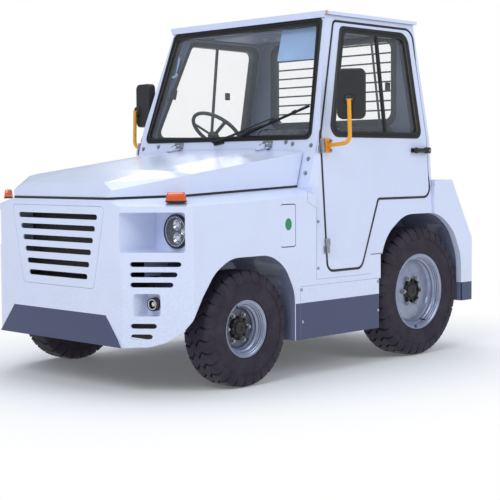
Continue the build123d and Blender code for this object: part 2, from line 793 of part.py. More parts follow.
# Cab shell: bent sides between a raked front and an upright rear wall
belt_slope = (half_width - belt_half) / (belt_z - bend_z)
upper_slope = (belt_half - top_half) / (wall_top - belt_z)
cab_bottom_z = 506


def side_x(z):
    """The cab side's outer face at a height."""
    if z <= bend_z:
        return half_width
    if z <= belt_z:
        return half_width - belt_slope * (z - bend_z)
    return belt_half - upper_slope * (z - belt_z)


cab_section = [(half_width, 300), (half_width, bend_z), (belt_half, belt_z), (top_half, wall_top),
               (-top_half, wall_top), (-belt_half, belt_z), (-half_width, bend_z), (-half_width, 300)]
ceiling_over = 200
cut_top_z = wall_top + ceiling_over
cut_x = half_width + 130
cut_front_y = cab_panel_front_y - 300
cut_middle_y = rear_axle_y - 300
cut_rear_y = rear_axle_y + 600
cab_break_z = belt_z + (cab_panel_front_y - screen_foot_y) / windscreen_rake
inside_top = top_half - cab_wall - upper_slope * ceiling_over
cab_inner_section = [(half_width - cab_wall, 290), (half_width - cab_wall, bend_z), (belt_half - cab_wall, belt_z),
                     (inside_top, cut_top_z), (-inside_top, cut_top_z),
                     (cab_wall - belt_half, belt_z), (cab_wall - half_width, bend_z), (cab_wall - half_width, 290)]


def cab_profile(inset):
    """The cab's side view, drawn in from its outer face."""
    return [
        (cab_panel_front_y + inset, 250),
        (cab_panel_front_y + inset, cab_break_z),
        (rake_y(cut_top_z) + inset, cut_top_z),
        (cab_rear_y - inset, cut_top_z),
        (cab_rear_y - inset, 250),
    ]


def section_prism(face, front, back):
    """A prism along the vehicle over a section drawn as (x, z)."""
    return extrude(Plane.XZ.offset(-back) * face, back - front, dir=(0, -1, 0))


outer_section = section_prism(Polygon(*cab_section, align=None), cut_front_y, cut_rear_y)
inner_section = section_prism(Polygon(*cab_inner_section, align=None), cut_front_y, cut_rear_y)
outer_profile = along_x(cab_profile(0), -cut_x, cut_x)
inner_profile = along_x(cab_profile(cab_wall), -cut_x, cut_x)

# Side panels: cut to their outline, the rear wheel arch, the door opening and the corner chamfer
side_panel_rear_y = rear_axle_y + 113
tail_top_z = 1016
rear_step_y = rear_axle_y - 478
rear_step_z = 612
arch_front_y = rear_axle_y - 388
side_outline = along_x([
    (cab_panel_front_y, cab_bottom_z),
    (rear_step_y, cab_bottom_z),
    (rear_step_y, rear_step_z),
    (arch_front_y, rear_step_z),
    (side_panel_rear_y, rear_step_z),
    (side_panel_rear_y, tail_top_z),
    (cab_rear_y, tail_top_z),
    (cab_rear_y, wall_top),
    (cab_panel_front_y - 100, wall_top),
    (cab_panel_front_y - 100, seam_rear_z),
    (cab_panel_front_y, seam_rear_z),
], 0, cut_x)
chamfer_run = (27, 45)

# Door outline, measured from the rear axle: y, z, corner radius
door_front_y = rear_axle_y + door_front_from_axle
door_rear_y = rear_axle_y + door_rear_from_axle
door_top_z = wall_top - 31
window_low_z = belt_z + 6
window_top_z = wall_top - 60
door_points = [
    (door_front_y, 545, 50),
    (rear_axle_y - 557, 545, 50),
    (rear_axle_y - 383, 918, 20),
    (door_rear_y, 918, 60),
    (door_rear_y, door_top_z, 60),
    (rear_axle_y - 604, door_top_z, 36),
    (door_front_y, window_low_z, 150),
]
window_points = [
    (rear_axle_y - 765, window_low_z, 50),
    (rear_axle_y + 43, window_low_z, 50),
    (rear_axle_y + 43, window_top_z, 60),
    (rear_axle_y - 550, window_top_z, 40),
]


def round_outline(points, grow=0):
    """A flat outline with its own radius at each corner, grown or drawn in."""
    shape = Polygon(*[(y, z) for y, z, _ in points], align=None)
    for y, z, radius in points:
        corner = shape.vertices().sort_by_distance((y, z, 0))[0]
        shape = fillet(corner, radius)
    if grow:
        shape = offset(shape, grow)
    return shape


def outline_prism(points, grow, low, high):
    """A prism across the vehicle over an outline of (y, z, radius) points."""
    return extrude(Plane.YZ.offset(low) * round_outline(points, grow), high - low, dir=(1, 0, 0))


shell_side = (outer_section - inner_section) & block(0, cut_x, cut_front_y, cut_rear_y, 0, cut_top_z)
side_wall = shell_side & side_outline & outer_profile
side_wall -= arch_space(rear_arch, rear_axle_y, 500, cut_x)
corner_cutter = beyond((belt_half - corner_inset, rake_y(belt_z), belt_z),
                       (chamfer_run[1], -chamfer_run[0], chamfer_run[0] * windscreen_rake))
side_wall -= corner_cutter & block(0, cut_x, cut_front_y, cut_rear_y, seam_rear_z, cut_top_z)
side_panel = side_wall - outline_prism(door_points, 0, liner_in, cut_x)

# Door hinges: two barrels outside the panel on one axis that leans with the cab's side
hinge_stand = 12
door_hinge_y = door_front_y - 2
door_hinge_heights = (680, 1210)
door_barrel = 10
door_barrel_half = 38
door_pin = 5
leaf_reach = 28
leaf_wall = 6


def hinge_point(z):
    """A point on the left door's hinge axis."""
    return (side_x(bend_z) - belt_slope * (z - bend_z) + hinge_stand, door_hinge_y, z)


def hinge_leaf(z0, z1, y0, y1, root_y0, root_y1):
    """A leaf on the panel's outer face, let into the panel between two places."""
    leaf = along_y([(side_x(z0) + joint_gap, z0), (side_x(z0) + leaf_wall, z0), (side_x(z1) + leaf_wall, z1),
                    (side_x(z1) + joint_gap, z1)], y0, y1)
    root = along_y([(side_x(z0) - 2, z0), (side_x(z0) + 1, z0), (side_x(z1) + 1, z1), (side_x(z1) - 2, z1)],
                   root_y0, root_y1)
    return leaf + root


door = side_wall & outline_prism(door_points, -door_gap, liner_in, cut_x)
door -= outline_prism(window_points, 0, liner_in, cut_x)
for z in door_hinge_heights:
    low, high = z - door_barrel_half, z + door_barrel_half
    fixed = rod(hinge_point(low), hinge_point(z - joint_gap), door_barrel)
    fixed += hinge_leaf(low, z - 1, door_hinge_y - leaf_reach, door_hinge_y, door_hinge_y - leaf_reach, door_hinge_y)
    fixed -= rod(hinge_point(low - 2), hinge_point(z + 2), door_pin + pin_fit)
    side_panel += fixed
    door += rod(hinge_point(z + joint_gap), hinge_point(high), door_barrel)
    door += hinge_leaf(z + 1, high, door_hinge_y, door_hinge_y + leaf_reach,
                       door_front_y + door_gap + 1, door_hinge_y + leaf_reach)
    door += rod(hinge_point(low), hinge_point(z + 2), door_pin)
keep("cab_sides", side_panel, mirrored(side_panel))
keep("door_left", door)
keep("door_right", mirrored(door))


def slanted_pane(points, grow, depth, wall):
    """A pane in the leaning upper side, its outer face at a depth behind the panel's."""
    slab = along_y([(belt_half - depth, belt_z), (top_half - depth, wall_top), (top_half - depth - wall, wall_top),
                    (belt_half - depth - wall, belt_z)], cut_front_y, cut_rear_y)
    return slab & outline_prism(points, grow, liner_in, cut_x)


pane_depth = 12
door_pane = slanted_pane(window_points, -joint_gap, pane_depth, glass_wall)
keep("door_glass_left", door_pane)
keep("door_glass_right", mirrored(door_pane))

# Mirror on its arm, and the door handle
mirror_y = rear_axle_y - 790
mirror_flange_z = 1210
mirror_arm_x = 885
mirror_ball_z = 1440
mirror_head_z = 1480
mirror_head_width = 150
mirror_head_height = 265
mirror_head_depth = 52
mirror_turn = 36
arm_radius = 11
flange_x = side_x(mirror_flange_z)


def mirror_arm():
    """Flange on the door, arm out and up to the mirror's ball."""
    foot = (flange_x - 1, mirror_y, mirror_flange_z)
    elbow = (mirror_arm_x, mirror_y, mirror_flange_z + 10)
    top = (mirror_arm_x - 6, mirror_y, mirror_ball_z)
    shape = rod(foot, elbow, arm_radius) + Pos(*elbow) * Sphere(arm_radius) + rod(elbow, top, arm_radius)
    shape += Pos(*top) * Sphere(arm_radius + 5)
    flange = along_y([(side_x(1176) + joint_gap, 1176), (side_x(1176) + 12, 1176), (side_x(1245) + 12, 1245),
                      (side_x(1245) + joint_gap, 1245)], mirror_y - 24, mirror_y + 24)
    shape += flange
    shape -= along_y([(side_x(1176) + joint_gap, 1176), (side_x(1245) + joint_gap, 1245), (side_x(1245) - 90, 1245),
                      (side_x(1176) - 90, 1176)], mirror_y - 40, mirror_y + 40)
    return shape


arm = mirror_arm()
head = Box(mirror_head_width, mirror_head_depth, mirror_head_height)
head = fillet(head.edges().filter_by(Axis.Y), 30)
head_back = mirror_head_depth / 2 + arm_radius + 5 + joint_gap
head_place = Pos(mirror_arm_x - 6, mirror_y, mirror_head_z) * Rot(0, 0, mirror_turn) * Pos(10, head_back, 0)
head = head_place * head

handle_z = 1192
handle_front_y = rear_axle_y - 50
handle_rear_y = rear_axle_y + 84
handle_out = 34
handle_x = side_x(handle_z)
handle = block(handle_x + 16, handle_x + handle_out, handle_front_y, handle_rear_y, handle_z - 14, handle_z + 14)
for post_y in (handle_front_y + 14, handle_rear_y - 14):
    handle += block(handle_x + 3, handle_x + 17, post_y - 12, post_y + 12, handle_z - 12, handle_z + 12)
handle_low_x = side_x(handle_z - 12)
handle_high_x = side_x(handle_z + 12)
handle_foot = along_y([(handle_low_x + joint_gap, handle_z - 12), (handle_low_x + 5, handle_z - 12),
                       (handle_low_x + 5, handle_z + 12), (handle_high_x + joint_gap, handle_z + 12)],
                      handle_front_y + 2, handle_rear_y - 2)
handle += handle_foot
keep("door_fittings_left", arm, head, handle)
keep("door_fittings_right", mirrored(arm), mirrored(head), mirrored(handle))

# Front and rear walls between the sides, with their window openings
screen_low_z = belt_z + 12
screen_high_z = wall_top - 30
screen_low_half = belt_half - 71
screen_high_half = top_half - 40
screen_hole = [(-screen_low_half, screen_low_z), (screen_low_half, screen_low_z), (screen_high_half, screen_high_z),
               (-screen_high_half, screen_high_z)]
screen_round = 30
between_sides = inner_section & block(-cut_x, cut_x, cut_front_y, cut_rear_y, rail_top, wall_top)
end_walls = between_sides & (outer_profile - inner_profile)
cab_front = end_walls & block(-cut_x, cut_x, cut_front_y, cut_middle_y, 0, cut_top_z)
cab_front -= along_y(screen_hole, cut_front_y, cut_middle_y, screen_round)
for sign in (1, -1):
    ears = block(sign * hinge_x - 30, sign * hinge_x - 16, hinge_y - 11, hinge_y + 40, hinge_z - 16, hinge_z + 14)
    ears += block(sign * hinge_x + 16, sign * hinge_x + 30, hinge_y - 11, hinge_y + 40, hinge_z - 16, hinge_z + 14)
    ears -= beyond((0, rake_y(belt_z) + 2, belt_z), (0, 1, -windscreen_rake))
    cab_front += ears + rod((sign * hinge_x - 30, hinge_y, hinge_z), (sign * hinge_x + 30, hinge_y, hinge_z), hinge_pin)
keep("cab_front", cab_front)

rear_window_half = 500
rear_window_low = belt_z + 94
rear_window_high = window_top_z - 2
rear_hole = [(-rear_window_half, rear_window_low), (rear_window_half, rear_window_low),
             (rear_window_half, rear_window_high), (-rear_window_half, rear_window_high)]
rear_window_round = 60
cab_rear = end_walls & block(-cut_x, cut_x, cut_middle_y, cut_rear_y, 0, cut_top_z)
cab_rear -= along_y(rear_hole, cut_middle_y, cut_rear_y, rear_window_round)
box_in = 425
for sign in (1, -1):
    wheel_box = arch_space(rear_arch, rear_axle_y, box_in - liner, half_width, liner)
    cab_rear -= wheel_box if sign > 0 else mirrored(wheel_box)
keep("cab_rear", cab_rear)

# Glass: windscreen and rear window
slab_y = pane_depth + glass_wall
screen_slab = along_x([(rake_y(bend_z) + pane_depth, bend_z), (rake_y(cut_top_z) + pane_depth, cut_top_z),
                       (rake_y(cut_top_z) + slab_y, cut_top_z), (rake_y(bend_z) + slab_y, bend_z)],
                      -cut_x, cut_x)
screen_pane = offset(outline(screen_hole, screen_round), -joint_gap)
windscreen = screen_slab & section_prism(screen_pane, cut_front_y, cut_middle_y)
rear_pane_y = cab_rear_y - cab_wall / 2
rear_pane = extrude(Plane.XZ.offset(-rear_pane_y) * offset(outline(rear_hole, rear_window_round), -joint_gap),
                    glass_wall, dir=(0, -1, 0))
keep("cab_glass", windscreen, rear_pane)

# Guard bars behind the rear window, on two upright strips
bar_count = 9
bar_radius = 5
bar_half = rear_window_half + 30
bar_y = cab_rear_y + 14
strip_half = 10
guard = None
for sign in (1, -1):
    strip = block(sign * bar_half - strip_half, sign * bar_half + strip_half, cab_rear_y, bar_y,
                  rear_window_low - 10, rear_window_high + 10)
    guard = strip if guard is None else guard + strip
for turn in range(bar_count):
    z = rear_window_low + (turn + 0.5) * (rear_window_high - rear_window_low) / bar_count
    guard += rod((-bar_half, bar_y, z), (bar_half, bar_y, z), bar_radius)
keep("rear_guard", guard)

# Roof: slab with a front lip over a lining that fits between the walls
roof_front_y = rake_y(wall_top) - roof_front_over
roof_rear_y = cab_rear_y + roof_rear_over
lip_wall = 10
lip_low = roof_top - 36
lining = 24
roof = block(-roof_half, roof_half, roof_front_y, roof_rear_y, wall_top, roof_top)
roof += block(-roof_half + 8, roof_half - 8, roof_front_y, roof_front_y + lip_wall, lip_low, wall_top + 1)
cab_inside = inner_section & inner_profile
roof += cab_inside & block(-cut_x, cut_x, cut_front_y, cut_rear_y, wall_top - lining, wall_top + 1)
keep("roof", roof)

# Cab floor on the rails, with the rear wheel boxes cut out of it
floor = cab_inside & block(-cut_x, cut_x, cut_front_y, cut_rear_y, rail_top, cab_floor_z)
for flip in (False, True):
    wheel_box = arch_space(rear_arch, rear_axle_y, box_in - liner, half_width, liner)
    floor -= mirrored(wheel_box) if flip else wheel_box
keep("cab_floor", floor)

# Rear wheel boxes: the arch's sheet, its inner wall and its rear wall down to the foot of the slate base
tail_base_z = 398
base_low_z = 287
base_wall = 12
base_front_y = rear_axle_y + rear_arch_rear + liner + joint_gap
box_out = half_width - cab_wall
rear_box = arch_space(rear_arch, rear_axle_y, box_in, box_out, liner)
rear_box -= arch_space(rear_arch, rear_axle_y, box_in - 1, box_out + 1)
rear_box += arch_space(rear_arch, rear_axle_y, box_in - liner, box_in, liner)
rear_box -= block(0, cut_x, rear_axle_y - 600, cut_rear_y, -500, rail_top - 60)
rear_box &= inner_section
rear_box += block(box_in - liner, half_width - base_wall - joint_gap, base_front_y - joint_gap - liner,
                  base_front_y - joint_gap, base_low_z, tail_base_z - joint_gap)
rear_box += block(box_in - liner, half_width - tail_wall - joint_gap, base_front_y - joint_gap - liner,
                  base_front_y - joint_gap, tail_base_z - 1, rail_top)
keep("wheel_boxes", rear_box, mirrored(rear_box))

# Lower body beside the frame: white frame and cover panels over slate skirts
skirt_front_y = well_rear_y + joint_gap
skirt_rear_y = arch_front_y - 15
cover_wall = 30
frame_wall = 36
upper_band = along_x([
    (skirt_front_y, cover_seam_z), (arch_front_y, cover_seam_z), (arch_front_y, rear_step_z),
    (rear_step_y, rear_step_z), (rear_step_y, cab_bottom_z), (cab_panel_front_y, cab_bottom_z),
    (cab_panel_front_y, cover_seam_z + sheet), (skirt_front_y, cover_seam_z + sheet),
], half_width - frame_wall, half_width)
upper_band -= block(0, cut_x, skirt_front_y - 1, cab_panel_front_y, cover_seam_z, rear_step_z)
step_beam = block(rail_out, half_width - frame_wall, cab_panel_front_y + 20, cab_panel_front_y + 80,
                  cover_seam_z, cover_seam_z + 40)
step_beam += block(rail_out, half_width - frame_wall, rear_step_y - 80, rear_step_y - 20,
                   cover_seam_z, cover_seam_z + 40)
body_frame = upper_band + step_beam
cover = block(half_width - cover_wall, half_width, skirt_front_y, skirt_rear_y, sill_top_z, cover_seam_z)
keep("lower_body", body_frame, mirrored(body_frame))
keep("sill_covers", cover, mirrored(cover))
skirt_in = 470
skirt = block(half_width - sheet, half_width, skirt_front_y, skirt_rear_y, sill_bottom_z, sill_top_z)
skirt += block(skirt_in, half_width - 1, skirt_front_y, skirt_front_y + sheet, sill_bottom_z, sill_top_z)
skirt += block(skirt_in, half_width - 1, skirt_rear_y - sheet, skirt_rear_y, sill_bottom_z, sill_top_z)
skirt += block(skirt_in, half_width - 1, skirt_front_y, skirt_rear_y, sill_top_z - sheet, sill_top_z)

# Rear body: thick steel box behind the cab with a slanted back, and its slate base
tail_break_z = 662
tail_top_y = rear_axle_y + 289
tail_profile = [(side_panel_rear_y, tail_base_z), (tail_y, tail_base_z), (tail_y, tail_break_z),
                (tail_top_y, tail_top_z), (side_panel_rear_y, tail_top_z)]
tail = along_x(tail_profile, -half_width, half_width)
tail -= along_x([(side_panel_rear_y - 1, tail_base_z - 1), (tail_y - tail_wall, tail_base_z - 1),
                 (tail_y - tail_wall, tail_break_z - 6), (tail_top_y - tail_wall / 2 - 12, tail_top_z - tail_wall),
                 (side_panel_rear_y - 1, tail_top_z - tail_wall)], -half_width + tail_wall, half_width - tail_wall)
tail -= block(tail_wall - half_width, half_width - tail_wall, cut_front_y, cab_rear_y, 0, cut_top_z)
tail -= block(-cut_x, cut_x, cut_front_y, cab_rear_y, tail_top_z - tail_wall - 1, cut_top_z)
for low_x in (500, -cut_x):
    tail -= arch_space(rear_arch, rear_axle_y, low_x, low_x + cut_x - 500)
keep("rear_body", tail)

base = block(-half_width, half_width, base_front_y, tail_y, base_low_z, tail_base_z)
base -= block(base_wall - half_width, half_width - base_wall, base_front_y - 1, tail_y - base_wall,
              base_low_z + base_wall, tail_base_z + 1)
keep("slate_skirts", skirt, mirrored(skirt), base)
tail_slant = (tail_y - tail_top_y) / (tail_top_z - tail_break_z)
ballast_half = 400
ballast_high = 900
ballast_rear_y = tail_y - tail_wall - 2
ballast = along_x([
    (cab_rear_y + 12, rail_top), (ballast_rear_y, rail_top), (ballast_rear_y, tail_break_z - 20),
    (ballast_rear_y - tail_slant * (ballast_high - tail_break_z + 20), ballast_high),
    (cab_rear_y + 12, ballast_high),
], -ballast_half, ballast_half)
keep("ballast", ballast)

# Dashboard, steering column and seat pedestals
dash_top_z = 1236
dash_low_z = 1000
dash_depth = 230
dash_half = 640
dash_edge_z = 1120
dash_back = cab_wall + joint_gap
dash = along_x([
    (rake_y(dash_low_z) + dash_back, dash_low_z),
    (rake_y(dash_low_z) + dash_back + 110, dash_low_z + 10),
    (rake_y(dash_edge_z) + dash_back + dash_depth, dash_edge_z),
    (rake_y(dash_top_z) + dash_back + dash_depth - 30, dash_top_z - 10),
    (rake_y(dash_top_z) + dash_back, dash_top_z),
], -dash_half, dash_half)
steering_x = -337
steering_y = rear_axle_y - 604
steering_z = 1286
steering_tilt = 41
steering_radius = 160
steering_grip = 11
steering_dish = 40
steering_hub_radius = 34
steering_hub_height = 30
spoke_radius = 8
steering_way = (0, math.sin(math.radians(steering_tilt)), math.cos(math.radians(steering_tilt)))
column_radius = 26
column_length = 300


def on_column(distance):
    """A point down the steering column from the wheel's hub."""
    return (steering_x, steering_y - distance * steering_way[1], steering_z - distance * steering_way[2])


column_gap = 34
column = rod(on_column(column_length), on_column(column_gap), column_radius)
dash += column
seat_x = 340
seat_half = 215
cushion_low = 884
cushion_high = 996
seat_front_y = rear_axle_y - 400
seat_rear_y = rear_axle_y + 10
pedestal_half = 80
pedestals = []
for sign in (1, -1):
    pedestals.append(block(sign * (seat_x - 50) - pedestal_half, sign * (seat_x - 50) + pedestal_half,
                           seat_front_y + 40, seat_rear_y - 60, cab_floor_z, cushion_low - joint_gap))
keep("cab_interior", dash, *pedestals)

# Steering wheel: grip, three spokes and hub
steering = Cylinder(steering_hub_radius, steering_hub_height)
steering += Pos(0, 0, steering_dish) * Torus(steering_radius, steering_grip)
for turn in (90, 210, 330):
    spoke = rod((steering_hub_radius / 2, 0, 0), (steering_radius, 0, steering_dish), spoke_radius)
    steering += Rot(0, 0, turn) * spoke
steering += Pos(0, 0, 10 - column_gap) * Cylinder(12, 20)
keep("steering_wheel", Pos(steering_x, steering_y, steering_z) * Rot(-steering_tilt, 0, 0) * steering)

# Seats: cushion and backrest of each, resting on the pedestals
back_top_z = 1342
back_wall = 84
back_lean = 50
cushions = []
for sign in (1, -1):
    pad = block(sign * seat_x - seat_half, sign * seat_x + seat_half, seat_front_y, seat_rear_y, cushion_low, cushion_high)
    pad = fillet(pad.edges().filter_by(Axis.Z), 40)
    back = along_x([
        (seat_rear_y - back_wall, cushion_high + joint_gap), (seat_rear_y, cushion_high + joint_gap),
        (seat_rear_y + back_lean, back_top_z), (seat_rear_y + back_lean - back_wall, back_top_z),
    ], sign * seat_x - seat_half, sign * seat_x + seat_half, 20)
    cushions += [pad, back]
keep("seat_cushions", *cushions)

# Lamps: round lamps in the pockets, amber markers on the fenders' corners and the roof, red lamps at the tail
head_lamp_radius = 84
head_lamp_x = 645
head_lamp_z = 794
head_lamp_depth = 16
fog_lamp_radius = 33
fog_lamp_x = 612
fog_lamp_z = 449
fog_lamp_depth = 30
front_lamps = []
for sign in (1, -1):
    for radius, x, z, depth, back_y in (
            (head_lamp_radius, head_lamp_x, head_lamp_z, head_lamp_depth, lamp_back_y),
            (fog_lamp_radius, fog_lamp_x, fog_lamp_z, fog_lamp_depth, fog_back_y)):
        disc = extrude(Plane.XZ.offset(-back_y) * (Pos(sign * x, z) * Circle(radius)), depth, dir=(0, -1, 0))
        front_lamps.append(fillet(disc.edges().sort_by(Axis.Y)[0], 6))
keep("front_lamps", *front_lamps)

marker_x = 690
marker_y = corner_y - 28
marker_length = 100
marker_depth = 44
marker_low = -3
marker_height = 45
marker_bevel = 9
marker_turn = math.degrees(math.atan2(fascia_corner_back, corner_run))
signal_lamps = []
for sign in (1, -1):
    body = block(-marker_length / 2, marker_length / 2, -marker_depth / 2, marker_depth / 2,
                 marker_low, marker_height)
    body = chamfer(body.edges().filter_by(Axis.Z), marker_bevel)
    body = chamfer(body.faces().sort_by(Axis.Z)[-1].edges(), marker_bevel)
    body = Pos(marker_x, marker_y, shelf_z(marker_y) - 14) * Rot(0, 0, marker_turn) * body
    corner_form = under_shelf(extrude(Plane.XY.offset(500) * plan_face, 600))
    body -= corner_form
    signal_lamps.append(body if sign > 0 else mirrored(body))
tail_lamp_x = 600
tail_lamp_z = 560
for sign in (1, -1):
    for rise in (-45, 45):
        disc = extrude(Plane.XZ.offset(-tail_y) * (Pos(sign * tail_lamp_x, tail_lamp_z + rise) * Circle(38)), -22)
        signal_lamps.append(disc)
keep("signal_lamps", *signal_lamps)

# Tow hitch: plate, three jaw levels and a drop pin
hitch_half = 130
hitch_plate = 24
hitch_low = 270
hitch_high = 560
jaw_half = 75
jaw_wall = 20
jaw_reach = rear_overhang - tail_reach
jaw_levels = (300, 400, 500)
hitch = block(-hitch_half, hitch_half, tail_y, tail_y + hitch_plate, hitch_low, hitch_high)
hitch_pin = 16
pin_y_place = tail_y + jaw_reach - 42
for z in jaw_levels:
    tongue = block(-jaw_half, jaw_half, tail_y + hitch_plate, tail_y + jaw_reach, z - jaw_wall / 2, z + jaw_wall / 2)
    tongue = fillet(tongue.edges().filter_by(Axis.Z).group_by(Axis.Y)[-1], 40)
    hitch += tongue
hitch -= Pos(0, pin_y_place, 400) * Cylinder(hitch_pin + pin_fit, 400)
keep("tow_hitch", hitch)
pin_low = jaw_levels[0] - jaw_wall
pin_head_z = jaw_levels[-1] + jaw_wall / 2
drop_pin = Pos(0, pin_y_place, (pin_low + pin_head_z) / 2) * Cylinder(hitch_pin, pin_head_z - pin_low)
drop_pin += Pos(0, pin_y_place, pin_head_z + 9) * Cylinder(hitch_pin + 10, 18)
drop_pin += Pos(0, pin_y_place, pin_head_z + 45) * Rot(90, 0, 0) * Torus(28, 6)
keep("tow_pin", drop_pin)
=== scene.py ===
"""Looks of an airport baggage tug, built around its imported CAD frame.

Every piece is in metres in the frame's own axes: front towards -Y, the
vehicle's left side towards +X, the ground at Z 0.
"""

import json
import logging
import math
from dataclasses import dataclass
from enum import Enum
from typing import Callable, ClassVar, Iterable, Sequence

import bmesh
import bpy
from mathutils import Matrix, Vector

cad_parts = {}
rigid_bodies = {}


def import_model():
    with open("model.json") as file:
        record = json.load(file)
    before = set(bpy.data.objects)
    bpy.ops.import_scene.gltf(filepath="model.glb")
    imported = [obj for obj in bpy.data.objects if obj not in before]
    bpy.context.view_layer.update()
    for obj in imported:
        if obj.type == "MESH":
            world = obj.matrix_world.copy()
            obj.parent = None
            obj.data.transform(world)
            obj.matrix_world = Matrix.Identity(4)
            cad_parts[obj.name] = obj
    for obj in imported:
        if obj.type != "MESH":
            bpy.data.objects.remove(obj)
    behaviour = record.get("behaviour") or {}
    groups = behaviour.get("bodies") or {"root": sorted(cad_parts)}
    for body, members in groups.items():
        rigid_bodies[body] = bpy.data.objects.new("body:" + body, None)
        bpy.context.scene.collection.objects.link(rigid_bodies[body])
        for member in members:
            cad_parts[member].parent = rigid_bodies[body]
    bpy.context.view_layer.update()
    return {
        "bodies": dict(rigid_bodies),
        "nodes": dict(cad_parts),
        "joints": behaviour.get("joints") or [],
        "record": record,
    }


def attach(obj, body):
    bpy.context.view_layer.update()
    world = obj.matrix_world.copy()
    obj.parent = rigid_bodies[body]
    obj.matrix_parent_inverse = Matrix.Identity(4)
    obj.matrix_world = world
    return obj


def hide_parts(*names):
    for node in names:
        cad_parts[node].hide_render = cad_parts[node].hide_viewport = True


LOG = logging.getLogger("baggage_tug")
Colour = tuple[float, float, float]
Point = tuple[float, float, float]
Pair = tuple[float, float]
Mesh = bmesh.types.BMesh
QUARTER = math.pi / 2


def srgb(red: int, green: int, blue: int) -> Colour:
    """A colour given as 0 to 255 screen values, as the linear values that shaders read.

    Args:
        red: Screen value of red.
        green: Screen value of green.
        blue: Screen value of blue.

    Returns:
        The linear colour.
    """
    def linear(value: int) -> float:
        """One channel."""
        share = value / 255
        return share / 12.92 if share <= 0.04045 else ((share + 0.055) / 1.055) ** 2.4

    return linear(red), linear(green), linear(blue)


class Side(Enum):
    """The vehicle's two sides, by the sign of X."""

    LEFT = 1
    RIGHT = -1

    @property
    def label(self) -> str:
        """The side's name in node and body names."""
        return self.name.lower()


class Axle(Enum):
    """The two axles."""

    FRONT = "front"
    REAR = "rear"


class Value:
    """A shader socket that takes part in Python expressions."""

    def __init__(self, maker: "Recipe", socket: bpy.types.NodeSocket) -> None:
        """Wraps one output socket."""
        self.maker = maker
        self.socket = socket

    def _math(self, operation: str, *others: "Value | float") -> "Value":
        """Adds a Math node on this value and others."""
        inputs = {index: other for index, other in enumerate((self, *others))}
        return self.maker.node("ShaderNodeMath", {"operation": operation}, inputs)

    def __add__(self, other: "Value | float") -> "Value":
        """Sum."""
        return self._math("ADD", other)

    def __radd__(self, other: float) -> "Value":
        """Sum with a number first."""
        return self._math("ADD", other)

    def __sub__(self, other: "Value | float") -> "Value":
        """Difference."""
        return self._math("SUBTRACT", other)

    def __rsub__(self, other: float) -> "Value":
        """A number less this value."""
        return self.maker.node("ShaderNodeMath", {"operation": "SUBTRACT"}, {0: other, 1: self})

    def __mul__(self, other: "Value | float") -> "Value":
        """Product."""
        return self._math("MULTIPLY", other)

    def __rmul__(self, other: float) -> "Value":
        """Product with a number first."""
        return self._math("MULTIPLY", other)

    def __pow__(self, other: float) -> "Value":
        """Power."""
        return self._math("POWER", other)

    def abs(self) -> "Value":
        """Size without sign."""
        return self._math("ABSOLUTE")

    def above(self, edge: float, width: float) -> "Value":
        """0 below an edge and 1 above it, over a soft width.

        Args:
            edge: Where the step lies.
            width: How wide the soft step is.

        Returns:
            The mask.
        """
        settings = {"interpolation_type": "SMOOTHSTEP"}
        inputs = {0: self, 1: edge - width / 2, 2: edge + width / 2, 3: 0.0, 4: 1.0}
        return self.maker.node("ShaderNodeMapRange", settings, inputs)

    def below(self, edge: float, width: float) -> "Value":
        """1 below an edge and 0 above it, over a soft width."""
        return 1.0 - self.above(edge, width)


